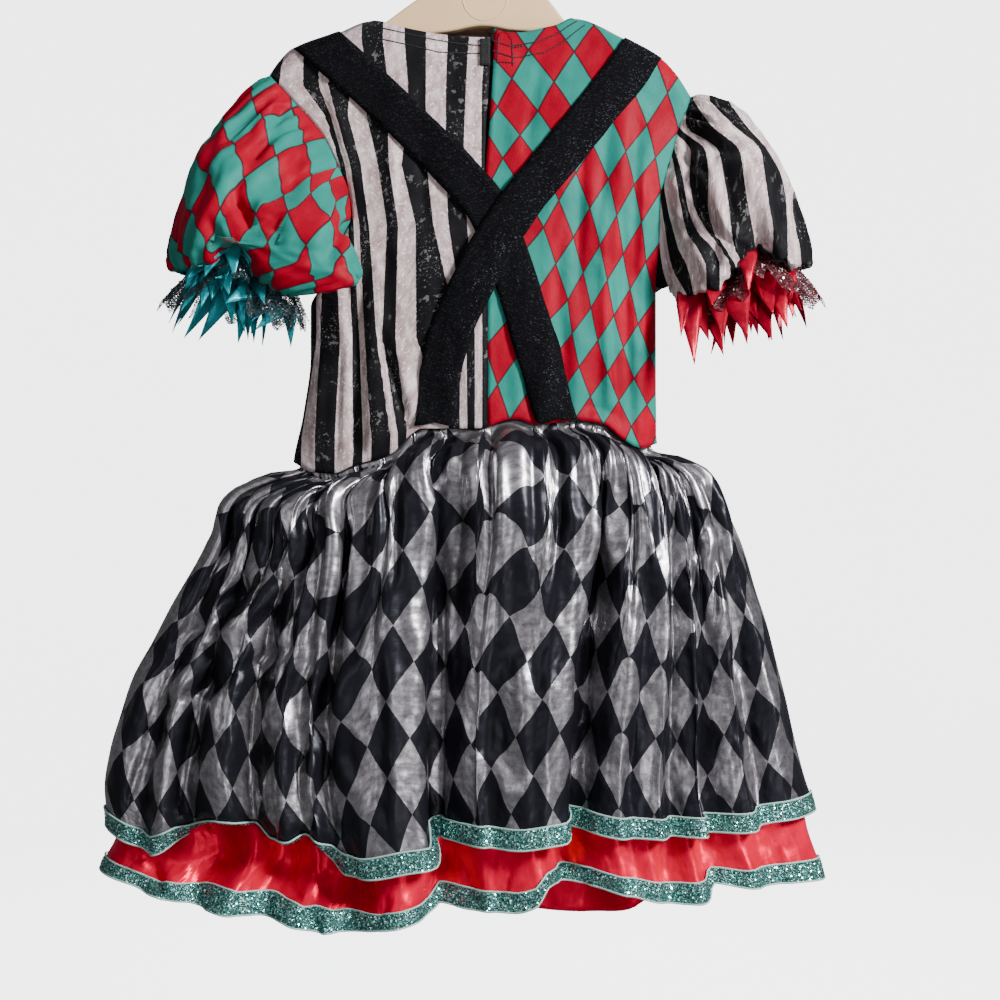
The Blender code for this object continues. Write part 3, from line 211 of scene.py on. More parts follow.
# where the printed stripes' edges lie on the right sleeve as seen: depth below the hook, then x
SLEEVE_STRIPES = (
    (158, 215, 186, 172, 160, 154, 148, 142, 136, 130, 124, 118, 112),
    (176, 212, 199, 190, 173, 154, 149, 143, 137, 131, 125, 119, 113),
    (196, 226, 216, 211, 195, 179, 169.5, 158, 146, 143, 138, 130, 122),
    (216, 236, 226.5, 214, 198, 183, 171.5, 157, 152, 147, 137.5, 134.5, 126),
    (236, 234, 230, 217, 201, 186.5, 171, 160, 155.5, 150.5, 140, 136, 133),
    (256, 237, 231, 220, 205, 188.5, 175, 171, 163, 155, 145, 139, 134),
    (270, 240, 231, 219.5, 207, 191, 184, 182, 176, 164, 149, 141, 135),
    (283, 241, 231, 216, 209, 198, 192, 188, 180, 169.5, 155.5, 144, 137),
    (303, 241, 231, 222, 212, 204, 196, 188, 180, 170, 160, 155, 143),
)
# turn of the print on the left sleeve
COS_TURN, SIN_TURN = math.cos(math.radians(30)), math.sin(math.radians(30))
# table, cinch, tuck, overhang, way the cuff hangs
SLEEVES = {
    True: (LEFT_SLEEVE, LEFT_CINCH, 0.30, 38, (-0.30, 0.0, -0.95)),
    False: (RIGHT_SLEEVE, RIGHT_CINCH, 0.0, 0, (0.14, 0.0, -0.99)),
}
CAP_FADE_NEAR, CAP_FADE_FAR = 0.6, 0.12        # where the armhole's curve has faded out

# ---- skirts: share down, left x, right x, depth at the back, depth at the front ----
SKIRT_RINGS = (
    (0, -135.5, 128.5, 27.5, 21.5), (0.024, -135.5, 128.5, 27.5, 21.5),
    (0.05, -160, 152, 40, 33), (0.085, -184, 170, 49, 38), (0.12, -193, 177, 53, 39),
    (0.20, -200, 187, 60, 42), (0.30, -215, 198, 66, 43), (0.40, -231, 206, 70, 44),
    (0.50, -245, 215, 74, 45), (0.60, -260, 222, 78, 46), (0.70, -269, 229, 81, 47),
    (0.80, -277, 235, 84, 48), (0.90, -281, 242, 86, 49), (1, -279, 250, 88, 50),
    (1.30, -284, 258, 88, 50),
)
GATHER_MAP = (
    (0, 0), (0.24, 0.13), (0.46, 0.405), (0.635, 0.76), (0.84, 0.93), (1, 1),
)
OUTER_HEM_BACK = (
    (0, -699), (0.03, -706), (0.075, -716), (0.11, -710), (0.18, -701), (0.225, -704),
    (0.255, -714), (0.28, -715), (0.30, -710), (0.33, -716), (0.375, -725), (0.43, -720),
    (0.455, -717), (0.468, -700), (0.52, -702), (0.575, -704), (0.628, -700),
    (0.642, -691), (0.67, -693), (0.73, -698), (0.79, -699), (0.89, -698), (0.95, -692),
    (1, -688.5),
)
OUTER_HEM_FRONT = (
    (0, -699), (0.2, -703), (0.4, -698), (0.6, -702), (0.8, -697), (1, -688.5),
)
UNDER_HEM_BACK = (
    (0, -732), (0.03, -737), (0.07, -745), (0.11, -749), (0.165, -754), (0.24, -758),
    (0.32, -766), (0.40, -761), (0.455, -754), (0.472, -747), (0.52, -749), (0.57, -749),
    (0.600, -744), (0.617, -731), (0.67, -733), (0.73, -740), (0.80, -748), (0.838, -747),
    (0.852, -736), (0.90, -739), (0.97, -738), (1, -739.5),
)
UNDER_HEM_FRONT = (
    (0, -732), (0.1, -742), (0.25, -758), (0.42, -766), (0.60, -770), (0.67, -776),
    (0.73, -772), (0.80, -754), (0.90, -744), (1, -739.5),
)
# share across the hem, drift at the waist, depth, steep side, gentle side, where it is full
BACK_SKIRT_FOLDS = (
    (0.055, 0, 8, 0.012, 0.030, 0.60), (0.125, 0, 12, 0.016, 0.030, 0.55),
    (0.225, 0, 15, 0.014, 0.034, 0.55), (0.300, 0.02, 9, 0.012, 0.020, 0.85),
    (0.345, 0, 12, 0.016, 0.026, 0.35), (0.468, 0, 24, 0.010, 0.050, 0.45),
    (0.545, 0, 9, 0.014, 0.024, 0.60), (0.645, 0, 24, 0.010, 0.045, 0.45),
    (0.740, 0, 9, 0.016, 0.028, 0.70), (0.795, 0.02, 12, 0.014, 0.024, 0.40),
    (0.850, 0, 15, 0.010, 0.035, 0.75), (0.925, 0, 10, 0.014, 0.026, 0.60),
)
FRONT_SKIRT_FOLDS = (
    (0.09, 0, 8, 0.025, 0.025, 0.60), (0.21, 0, 10, 0.025, 0.030, 0.50),
    (0.35, 0.01, 12, 0.025, 0.035, 0.55), (0.47, 0, 9, 0.025, 0.030, 0.70),
    (0.60, 0, 12, 0.025, 0.035, 0.50), (0.74, 0.01, 11, 0.025, 0.030, 0.60),
    (0.88, 0, 9, 0.025, 0.025, 0.65),
)
GATHER_END = 0.30          # share of the way down where the small gathers have run out
GATHER_HEIGHT = 2.2
GATHERS = {True: 11, False: 19}                # front, back
SKIRT_COLUMNS = {                              # outer and front
    (True, False): 360, (True, True): 200, (False, False): 220, (False, True): 150,
}
# how far inside the outer skirt the underskirt is: at the waist, below it, near the hem, at the roll
WAIST_INSET, BODY_INSET, HEM_INSET, ROLL_INSET = 5.0, 21.0, 7.5, 19.0
UNDER_FOLD_SPREAD, TAIL_REACH = 0.014, 0.3
GATHER = 52.0              # cloth in one large gather of the outer skirt
WAIST_OVERLAP = 2.0        # how far the skirts reach up past the waist seam
DEEP_FOLD, DEEPER, DEEP = 11, 1.45, 1.25       # folds past DEEP_FOLD gain more depth
LAPPED_FOLD, LAP = 20, 9.0                     # folds past LAPPED_FOLD lap over sideways
# stretch of the back hem that rolls under, and where down the skirt the roll starts
CURL_FROM, CURL_TO, CURL_FADE = 0.105, 0.335, 0.03
CURL_TURN = math.radians(125)
CURL_START = 0.915
RIBBON_START = {True: 0.943, False: 1.70}      # outer skirt, underskirt
RIBBON_WIDTH, RIBBON_LIFT = 16.0, 1.1

# ---- straps: middle line and half width ----
LEFT_STRAP_BACK = (
    (57, -397, 16), (51, -378, 16), (41, -345, 15.8), (30, -308, 15.5), (18, -272, 15.5),
    (6, -244, 15.5), (-14, -219, 15.5), (-46, -186, 15.5), (-83, -150, 15.8), (-101, -134, 16),
)
RIGHT_STRAP_BACK = (
    (-33, -400, 14.5), (-30, -384, 15), (-28, -362, 15.5), (-21, -335, 15.5),
    (-8, -305, 15.5), (9, -272, 15.5), (32, -238, 15.5), (66, -195, 15.5), (97, -156, 15.8),
    (109, -141, 16),
)
LEFT_STRAP_FRONT = (
    (-113, -143, 16), (-96, -172, 16), (-80, -206, 16), (-69, -246, 16), (-64, -300, 16),
    (-62, -350, 16), (-61, -395, 16),
)
RIGHT_STRAP_FRONT = (
    (119, -150, 14), (113, -180, 15), (105, -215, 16), (97, -255, 16), (89, -300, 16),
    (81, -350, 16), (75, -392, 16),
)
LEFT_STRAP_FOLD = (-141, -107)
RIGHT_STRAP_FOLD = (109, 136)
STRAP_LIFT, SHOULDER_LIFT = 2.8, 3.0           # outer face above the bodice
STRAP_BACK_STEPS, STRAP_FRONT_STEPS = 90, 60
STRAP_CROSS = (5, -262)
STRAP_CROSS_REACH = 62
STRAP_CROSS_LIFT = 2.4

# ---- hanger: x, top z, bottom z ----
HANGER_BODY = (
    (-146, -140, -147), (-139, -130, -152), (-110, -118, -140), (-82, -108, -122),
    (-72, -101, -116), (-55, -88.5, -111), (-38, -76, -109), (-22, -61, -107),
    (-8, -52, -104), (0, -51, -103), (8, -52, -103.5), (22, -59, -106), (38, -69, -107),
    (52, -84, -105), (62, -97, -107), (70, -105, -111), (79, -108, -118), (105, -121, -140),
    (132, -136, -156), (141, -148, -162), (145, -155, -165),
)
HANGER_HALF_DEPTH, HANGER_EDGE = 5.0, 2.2
DISC_X, DISC_Z, DISC_RADIUS = 3.75, -82.5, 16.6


# ---- small mathematics ----
def slope(rows, index, column):
    return (rows[index + 1][column] - rows[index][column]) / (rows[index + 1][0] - rows[index][0])


def tangent(rows, index, column):
    if index == 0:
        return slope(rows, 0, column)
    if index == len(rows) - 1:
        return slope(rows, index - 1, column)
    before, after = slope(rows, index - 1, column), slope(rows, index, column)
    if before * after <= 0:
        return 0.0
    return 2 * before * after / (before + after)


def through(rows, at, column=1):
    """Value in a column of a table at a place, on a smooth curve that never overshoots."""
    if at <= rows[0][0]:
        return float(rows[0][column])
    if at >= rows[-1][0]:
        return float(rows[-1][column])
    index = 0
    while rows[index + 1][0] <= at:
        index += 1
    span = rows[index + 1][0] - rows[index][0]
    t = (at - rows[index][0]) / span
    y0, y1 = rows[index][column], rows[index + 1][column]
    start, end = tangent(rows, index, column), tangent(rows, index + 1, column)
    bend = span * (start * t * (1 - t) ** 2 - end * t * t * (1 - t))
    return y0 + (y1 - y0) * t * t * (3 - 2 * t) + bend


def ramp(start, end, at):
    t = min(1.0, max(0.0, (at - start) / (end - start)))
    return t * t * (3 - 2 * t)


def mix(a, b, share):
    return a + (b - a) * share


def rounded(distance, radius):
    if distance >= radius:
        return 1.0
    share = 1 - max(0.0, distance) / radius
    return math.sqrt(1 - share * share)


def superellipse(reach, power):
    return max(0.0, 1 - (1 - min(1.0, max(0.0, reach))) ** power) ** (1 / power)


def crease(rows, x, z):
    """Depth of the creases at a place: each is a soft groove or ridge along a line."""
    depth = 0.0
    for x0, z0, x1, z1, width, dip in rows:
        along_x, along_z = x1 - x0, z1 - z0
        length = along_x * along_x + along_z * along_z
        t = ((x - x0) * along_x + (z - z0) * along_z) / length
        if not -0.15 < t < 1.15:
            continue
        away = (x - x0) * along_z - (z - z0) * along_x
        away = away * away / length / (width * width)
        if away < 9:
            depth += dip * math.exp(-away) * ramp(-0.15, 0.25, t) * (1 - ramp(0.8, 1.15, t))
    return depth


def ridge(x, z, seed):
    """Sharp-topped uneven waves from 0 to 1."""
    return 1 - min(1.0, 2.2 * abs(noise.noise(Vector((x, z, seed)))))


def rumple(u, v, seed, wide, tall, height):
    """Uneven small waves of worn cloth, at three sizes."""
    soft = noise.noise(Vector((u / wide, v / tall, seed)))
    fine = ridge(u / wide * 2.1 + soft, v / tall * 2.3, seed + 7.0) - 0.6
    slant = ridge((u + 0.6 * v) / wide, (v - 0.5 * u) / tall, seed + 3.0) - 0.6
    return height * (soft + 0.45 * fine + 0.4 * slant)


def seen(x, z, y):
    """The point at depth y that the viewer sees at (x, z)."""
    share = (VIEWER + y) / VIEWER
    return Vector((VIEW_X + (x - VIEW_X) * share, y, VIEW_Z + (z - VIEW_Z) * share))


def as_seen(point):
    """The x and z at which the viewer sees a point."""
    share = (VIEWER + point.y) / VIEWER
    return VIEW_X + (point.x - VIEW_X) / share, VIEW_Z + (point.z - VIEW_Z) / share


def spread(count, power=1.0):
    """Shares from 0 to 1 in so many steps."""
    return [(j / count) ** power for j in range(count + 1)]


# ---- pieces ----
def quads(rows, columns, closed=False):
    """Row, column and corners of each face of a grid of points."""
    for i in range(rows - 1):
        for j in range(columns if closed else columns - 1):
            after = (j + 1) % columns
            low, high = i * columns, (i + 1) * columns
            yield i, j, (low + j, low + after, high + after, high + j)


def in_metres(grid):
    return [tuple(p * MM) for line in grid for p in line]


def new_mesh(name, points, faces=(), edges=()):
    mesh = bpy.data.meshes.new(name)
    mesh.from_pydata(points, edges, faces)
    return mesh


def new_object(name, data):
    item = bpy.data.objects.new(name, data)
    bpy.context.scene.collection.objects.link(item)
    return item


def finished(mesh, materials):
    """A smooth object of a mesh with its materials."""
    mesh.shade_smooth()
    for material in materials:
        mesh.materials.append(material)
    return new_object(mesh.name, mesh)


def lay_flat(mesh, places):
    """Gives each corner its place in the flat cloth."""
    layer = mesh.uv_layers.new(name="cloth")
    for loop, place in enumerate(places):
        layer.data[loop].uv = place


def thicken(piece, thickness, inside=0):
    """Thickness inwards; inside counts from the outer material to the inner face's one."""
    solid = piece.modifiers.new("Thickness", "SOLIDIFY")
    solid.thickness = thickness * MM
    solid.offset = -1.0
    solid.material_offset = inside


# ---- cloth ----
class Cloth:
    """A grid of points on the outer face of a piece of cloth, with its place in the flat cloth."""

    def __init__(self, grid, closed=False, centre=(0.0, 0.0)):
        self.grid = grid
        self.columns = len(grid[0])
        self.closed = closed
        self.centre = centre
        self.uv = None
        self.normals = self.find_normals()

    def find_normals(self):
        rows, columns = len(self.grid), self.columns
        wraps = columns if self.closed else columns - 1
        totals = [[Vector() for _ in line] for line in self.grid]
        for i in range(rows - 1):
            low, high = self.grid[i], self.grid[i + 1]
            for j in range(wraps):
                after = (j + 1) % columns
                facing = (low[after] - high[j]).cross(high[after] - low[j]).normalized()
                totals[i][j] += facing
                totals[i][after] += facing
                totals[i + 1][j] += facing
                totals[i + 1][after] += facing
        balance = 0.0
        for line, points in zip(totals, self.grid):
            for total, point in zip(line, points):
                total.normalize()
                balance += total.dot(point - Vector((self.centre[0], self.centre[1], point.z)))
        if balance < 0:
            totals = [[-n for n in line] for line in totals]
        return totals

    def shape(self, height):
        """Moves each point along its normal by height(row, column, point)."""
        for i, line in enumerate(self.grid):
            for j, point in enumerate(line):
                line[j] = point + self.normals[i][j] * height(i, j, point)
        self.normals = self.find_normals()

    def measure(self, row_for_u=None):
        """Fills the UVs with lengths along the cloth; every row can share one row's widths."""
        rows = len(self.grid)
        ends = [line + [line[0]] if self.closed else line for line in self.grid]
        columns = len(ends[0])
        across = []
        for line in ends:
            total, places = 0.0, [0.0]
            for a, b in zip(line, line[1:]):
                total += (b - a).length
                places.append(total)
            across.append(places)
        up = [[0.0] * columns for _ in range(rows)]
        for i in range(1, rows):
            for j in range(columns):
                up[i][j] = up[i - 1][j] + (ends[i][j] - ends[i - 1][j]).length
        if row_for_u is not None:
            across = [across[row_for_u]] * rows
        self.uv = [[(across[i][j], up[i][j]) for j in range(columns)] for i in range(rows)]

    def quads(self):
        return quads(len(self.grid), self.columns, self.closed)

    def finder(self):
        points = [tuple(p) for line in self.grid for p in line]
        return BVHTree.FromPolygons(points, [face for _, _, face in self.quads()])

    def object(self, name, thickness, materials, node=None):
        """Makes the piece: one layer of faces with UVs, given its thickness by a modifier."""
        faces, corners = [], []
        for i, j, face in self.quads():
            faces.append(face)
            corners += [(i, j), (i, j + 1), (i + 1, j + 1), (i + 1, j)]
        mesh = new_mesh(name, in_metres(self.grid), faces)
        lay_flat(mesh, [(self.uv[i][j][0] * MM, self.uv[i][j][1] * MM) for i, j in corners])
        facing = sum(
            mesh.polygons[f].normal.dot(self.normals[corners[4 * f][0]][corners[4 * f][1]])
            for f in range(0, len(faces), 7)
        )
        if facing < 0:
            mesh.flip_normals()
        piece = finished(mesh, materials)
        if thickness:
            thicken(piece, thickness, len(materials) - 1)
        return ride(piece, node)


def ride(piece, node=None, slot=None):
    """Puts a piece on the dress; given a solid's name, it takes that solid's place and hides it."""
    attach(piece, "root")
    if node:
        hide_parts(node)
        slot = slot or slot_of(node)
    return piece


def slot_of(node):
    for part in frame["record"]["subparts"]:
        if part["node"] == node:
            return part["material_slot"]
    raise KeyError(node)


# ---- bodice ----
def bodice_point(left, front, s, t):
    """Outer face of a bodice panel: s from the centre to the side, t from waist to shoulder."""
    edge = LEFT_EDGE if left else RIGHT_EDGE
    if front:
        top = FRONT_TOP_LEFT if left else FRONT_TOP_RIGHT
    else:
        top = BACK_TOP_LEFT if left else BACK_TOP_RIGHT
    side = 1.0 if front else -1.0
    edge_x, edge_z = through(edge, t, 1), through(edge, t, 2)
    top_z = through(top, CENTRE_X)
    low_x, high_x = mix(CENTRE_X, edge[0][1], s), mix(CENTRE_X, edge[-1][1], s)
    low_z, high_z = through(WAIST, low_x), through(top, high_x)
    low_line, high_line = mix(WAIST_CENTRE_Z, edge[0][2], s), mix(top_z, edge[-1][2], s)
    x = mix(CENTRE_X, edge_x, s)
    z = mix(mix(WAIST_CENTRE_Z, top_z, t), edge_z, s)
    z += mix(low_z, high_z, t) - mix(low_line, high_line, t)
    armhole = through(edge, t, 3) * (0.8 if front else 1.0)
    depth = through(BODICE_DEPTH, t, 2 if front else 1)
    flat = superellipse(1 - s, PLAN_SQUARENESS)
    fold = 0.0
    strength = ramp(0.0, 0.07, t) * (1 - ramp(0.25, 0.6, t)) * flat * flat
    for at_waist, at_chest, dip, width in FRONT_FOLDS if front else BACK_FOLDS:
        place = mix(at_waist, at_chest, min(1.0, t / 0.6))
        fold += dip * strength * math.exp(-(((x - place) / width) ** 2))
    y = (mix(armhole, depth, flat) - fold) * rounded(through(HANG_LINE, x) - z, SHOULDER_ROUND)
    return Vector((x, side * max(y, SEAM_GAP / 2), z))


def stripe_place(x, z):
    """How far across the stripes a point of the left back is, in millimetres of cloth."""
    rows = STRIPE_PLACES
    z = min(rows[0][0], max(rows[-1][0], z))
    index = 0
    while index < len(rows) - 2 and rows[index + 1][0] > z:
        index += 1
    share = (rows[index][0] - z) / (rows[index][0] - rows[index + 1][0])
    places = [mix(a, b, share) for a, b in zip(rows[index][1:], rows[index + 1][1:])]
    return STRIPE * column_of([-x for x in places], -x, STRIPE)


def column_of(places, x, step):
    """Which column a place is in, with its share of the way to the next; places rise."""
    if x <= places[0]:
        return (x - places[0]) / step
    for n, (near, far) in enumerate(zip(places, places[1:])):
        if x <= far:
            return n + (x - near) / (far - near)
    return len(places) - 1 + (x - places[-1]) / step


def diamond_place(x, z):
    """Columns and rows of diamonds at a point of the right back; each pair is one diamond."""
    lines = [row[0] + row[1] * (x - 10) for row in DIAMOND_PLACES]
    place = column_of([-line for line in lines], -z, DIAMOND_DOWN)
    index = min(max(int(place), 0), len(lines) - 2)
    share = min(1.0, max(0.0, place - index))
    pairs = zip(DIAMOND_PLACES[index][2:], DIAMOND_PLACES[index + 1][2:])
    return column_of([mix(a, b, share) for a, b in pairs], x, DIAMOND_ACROSS), place


@functools.cache
def bodice_cloth(left, front):
    """A bodice panel with its creases, split from its neighbours by half a gap."""
    rows, columns = (60, 30) if front else (90, 48)
    side = 1 if front else -1
    outwards = -1 if left else 1
    shares = [1 - (1 - s) ** 1.2 for s in spread(columns)]
    grid = [[bodice_point(left, front, s, t) for s in shares] for t in spread(rows)]
    cloth = Cloth(grid, centre=(CENTRE_X, 0.0))
    creases = FRONT_CREASES if front else BACK_CREASES

    def height(i, j, point):
        t = i / rows
        free = ramp(0.0, 0.04, t) * (1 - ramp(0.93, 1.0, t)) * ramp(0, 0.10, 1 - shares[j])
        wave = rumple(point.x, point.z, 11.0 if front else 4.0, 30, 66, 1.7)
        pucker = 0.7 * math.sin(point.x * 0.55 + math.sin(point.x * 0.21) * 2) * (1 - ramp(0, 0.10, t))
        return (wave - 1.5 * crease(creases, point.x, point.z)) * free + pucker * ramp(0, 0.02, t)

    cloth.shape(height)
    limit = side * SEAM_GAP / 2
    for line in cloth.grid:
        for j, point in enumerate(line):
            if (point.y - limit) * side < 0:
                point.y = limit
            if (point.x - CENTRE_X) * outwards < SEAM_GAP / 2:
                point.x = CENTRE_X + outwards * SEAM_GAP / 2
            if front and left:
                lapped = 1 - ramp(0, 0.07, shares[j])
                point.x += 1.0 * lapped
                point.y -= 1.7 * lapped
            if front:
                lapped = ramp(0.95, 1.0, shares[j]) * ramp(-302, -314, point.z)
                point.x -= outwards * SEAM_LAP * lapped
                point.y -= SEAM_DRAW * lapped
            if not front:
                near = 1 - ramp(0, 0.30, shares[j])
                lean = mix(-3.6, 3.4, ramp(OPEN_FROM - 30, OPEN_TO, point.z))
                gap = 1.1 * ramp(OPEN_FROM, OPEN_FROM + 60, point.z)
                point.x += near * (lean * ramp(-330, OPEN_FROM, point.z) + outwards * gap)
    cloth.normals = cloth.find_normals()
    cloth.measure()
    if front:
        return cloth
    for points, line in zip(cloth.grid, cloth.uv):
        for j, p in enumerate(points):
            if left:
                line[j] = (stripe_place(p.x, p.z), line[j][1])
            else:
                across, down = diamond_place(p.x, p.z)
                line[j] = (DIAMOND_WIDTH * across, DIAMOND_HEIGHT * down)
    return cloth


# ---- sleeves ----
def armhole_point(left, share):
    """A point round the armhole: share 0 at the shoulder tip, down the back, up the front."""
    low = UNDERARM[left]
    steps = [mix(low, 0.93, i / 6) for i in range(7)] + [0.975, 1.0]
    front = share > 0.5
    place = abs(2 * share - 1) * (len(steps) - 1)
    index = min(int(place), len(steps) - 2)
    t = mix(steps[index], steps[index + 1], place - index)
    return bodice_point(left, front, 1.0, t)


def ring_point(row, angle, tuck):
    outer, inner = Vector(row[0:3]), Vector(row[3:6])
    across = (outer - inner) / 2 * math.cos(angle)
    reach = row[6]
    if math.sin(angle) < 0:
        reach = row[7]
        if math.cos(angle) < 0:
            across *= 1 - tuck * math.sqrt(-math.sin(angle))
    return (outer + inner) / 2 + across - Vector((0, reach * math.sin(angle), 0))


@functools.cache
def sleeve_cloth(left):
    """A puff sleeve from the armhole to its elastic, gathered at both ends; it starts underarm."""
    table, cinch, tuck, overhang, _ = SLEEVES[left]
    columns, rows = 144, 66
    angles = [math.pi + 2 * math.pi * j / columns for j in range(columns)]
    start = [through(table, 0.0, c) for c in range(1, 9)]
    hole = [armhole_point(left, (angle / (2 * math.pi)) % 1.0) for angle in angles]
    shift = [point - ring_point(start, angle, 0.0) for point, angle in zip(hole, angles)]
    seed = 21.0 if left else 27.0
    grid = []
    for w in spread(rows, 1.15):
        row = [through(table, w, c) for c in range(1, 9)]
        middle = (Vector(row[0:3]) + Vector(row[3:6])) / 2
        line = []
        for angle, away in zip(angles, shift):
            sine = math.sin(angle)
            point = ring_point(row, angle, tuck * ramp(0.0, 0.05, w))
            if sine > 0:
                hanging = ramp(0.0, 0.4, w) * (1 - ramp(0.7, 1.0, w))
                point.x += overhang * hanging * max(0.0, -math.sin(2 * angle)) ** 0.6
            lift = through(cinch, (1 - math.cos(angle)) / 2) * math.sqrt(max(0.0, sine))
            point.z += lift * ramp(0.55, 0.95, w)
            cap = 1.6 * math.sin(7 * angle + 0.8) * ramp(0.02, 0.15, w) * (1 - ramp(0.3, 0.6, w))
            cuff = 3.0 * math.sin(5 * angle + 2.1) * ramp(0.45, 0.85, w)
            fade = max(0.0, 1 - w / (CAP_FADE_NEAR if sine > 0 else CAP_FADE_FAR)) ** 1.5
            line.append(point + (point - middle).normalized() * (cap + cuff) + away * fade)
        grid.append(line)
    grid[0] = [p + (q - p).normalized() * 2 * SEAM_GAP for p, q in zip(hole, grid[2])]
    towards = 2.5 if left else -2.5
    grid[0:0] = [[Vector((p.x + towards, p.y * 0.80, p.z - 1.5)) for p in hole]]
    cloth = Cloth(grid, closed=True, centre=(-175 if left else 195, -20))
    creases = LEFT_SLEEVE_CREASES if left else RIGHT_SLEEVE_CREASES

    def height(i, j, point):
        w, phase = max(0.0, (i - 1) / rows), angles[j]
        top = ramp(-0.35, 0.35, math.cos(phase))
        small = math.sin(31 * phase + 2 * math.sin(5 * phase)) + 0.6 * math.sin(47 * phase + 1.3)
        gathers = 2.0 * small * ramp(0.01, 0.08, w) * (1 - ramp(0.12, 0.45, w)) * mix(0.4, 1.0, top)
        frill = 1.3 * math.sin(34 * phase + 3 * math.sin(3 * phase)) * ramp(0.62, 0.92, w)
        drape = 5.2 * (ridge(phase * 1.7, w * 1.1 + 0.5 * phase, seed) - 0.55)
        drape *= ramp(0.05, 0.3, w) * (1 - ramp(0.85, 1.0, w))
        rough = rumple(phase * 55, w * 200, seed, 24, 44, 2.3) * ramp(0.02, 0.2, w)
        dent = 0.0
        if math.sin(phase) > -0.1:
            dent = 1.7 * crease(creases, *as_seen(point))
            dent *= ramp(0.03, 0.12, w) * (1 - ramp(0.93, 1.0, w))
        return gathers + frill + drape + rough - dent

    cloth.shape(height)
    cloth.measure(row_for_u=int(rows * 0.55))
    for i, line in enumerate(cloth.uv):
        if left:
            for j, (u, v) in enumerate(line):
                line[j] = (0.9 * (u * COS_TURN - v * SIN_TURN), 0.86 * (v * COS_TURN + u * SIN_TURN))
            continue
        points = cloth.grid[i] + [cloth.grid[i][0]]
        line[:] = [(sleeve_stripe_place(p), v) for p, (_, v) in zip(points, line)]
    return cloth


def sleeve_stripe_place(point):
    """How far across the stripes a point of the right sleeve's near side is."""
    x, z = as_seen(point)
    places = [-through(SLEEVE_STRIPES, -z, c) for c in range(1, len(SLEEVE_STRIPES[0]))]
    return STRIPE * column_of(places, -x, STRIPE)


# ---- cuffs ----
PETAL_THICKNESS, CUFF_ELASTIC_RADIUS = 0.35, 1.3
# petals of each cuff that show from the back: x z of the root, x z of the tip, width, depth, curl
LEFT_PETALS = (
    (-208, -288, -224.1, -317.9, 8, -58, 4), (-203, -283, -207.9, -314.7, 13, -62, 3),
    (-190, -280, -188.3, -325.7, 17, -60, -3), (-197, -282, -199.3, -308.2, 15, -59, 5),
    (-192, -273, -212.9, -280.9, 11, -70, -6), (-187, -263, -182.2, -291.5, 12, -70, 5),
    (-180, -285, -199.3, -289.9, 7, -71, -4), (-168, -294, -190, -311.8, 14, -70, 6),
    (-152, -299, -173.3, -322.8, 11, -66, -5), (-146, -308, -166.8, -331, 13, -66, 5),
    (-143, -312, -143.2, -343, 9, -62, -3), (-176, -290, -178, -318, 14, -58, 3),
    (-160, -295, -158, -322, 13, -57, -4), (-173, -262, -166, -279, 11, -66, 6),
    (-215, -282, -217, -306, 9, -50, 3), (-200, -270, -205, -291, 12, -68, 4),
    (-206, -274, -221, -291, 12, -64, -4), (-194, -276, -186, -304, 15, -64, 5),
    (-182, -272, -172, -290, 12, -67, -5), (-170, -286, -160, -310, 13, -68, 4),
    (-186, -292, -178, -332, 13, -56, -3), (-165, -300, -170, -334, 12, -55, 4),
    (-190, -262, -198, -278, 10, -69, 4), (-212, -284, -224, -305, 10, -56, -3),
    (-198, -259, -203, -286, 12, -64, 4), (-186, -258, -190, -284, 12, -66, -4),
    (-176, -258, -168, -284, 12, -66, 5), (-192, -270, -196, -300, 14, -66, -5),
)
RIGHT_PETALS = (
    (157, -300, 162.8, -356, 17, -41, 4), (172, -296, 180.6, -349, 18, -43, -4),
    (187, -303, 191.3, -342, 12, -38, 3), (188, -292, 203.5, -335, 24, -45, 5),
    (206, -291, 216.8, -338, 22, -44, -4), (219, -285, 232.4, -328, 18, -40, 5),
    (231, -285, 236, -321, 12, -34, 3), (202, -262, 188.2, -281, 13, -48, -7),
    (200, -262, 203.5, -303, 15, -47, 6), (197, -300, 199, -341, 12, -36, -2),
    (224, -300, 226, -330, 10, -32, 2), (163, -298, 170, -338, 16, -46, -4),
    (180, -296, 184, -336, 17, -48, 4), (196, -288, 206, -322, 20, -49, -5),
    (212, -284, 222, -318, 19, -46, 4), (226, -282, 240, -316, 14, -40, -4),
    (154, -300, 152, -335, 11, -38, 3), (178, -286, 176, -312, 18, -50, 5),
    (216, -280, 210, -306, 16, -47, -5),
)


def petal(root, tip, width, curl, faces_out):
    """A flat pointed ribbon end, bent along its length and folded a little along its middle."""
    along = tip - root
    length = along.length
    across = along.cross(faces_out).normalized() * width / 2
    turn = 0.09 * curl
    grid = []
    for t in spread(10):
        half = 1.0 if t < 0.3 else max(0.015, 1 - (t - 0.3) / 0.7)
        twist = turn * (t - 0.3)
        wide = across * math.cos(twist) + faces_out * (width / 2 * math.sin(twist))
        bow = 0.7 * curl * math.sin(2.6 * t) * length / 40
        line = []
        for c in (-1, -0.5, 0, 0.5, 1):
            fold = 0.10 * curl * (1 - abs(c)) * width / 10 * half
            slant = across * 0.35 * (t - 0.3) * (1 if curl > 0 else -1)
            line.append(root + along * t + wide * c * half + slant + faces_out * (bow + fold))
        grid.append(line)
    return grid


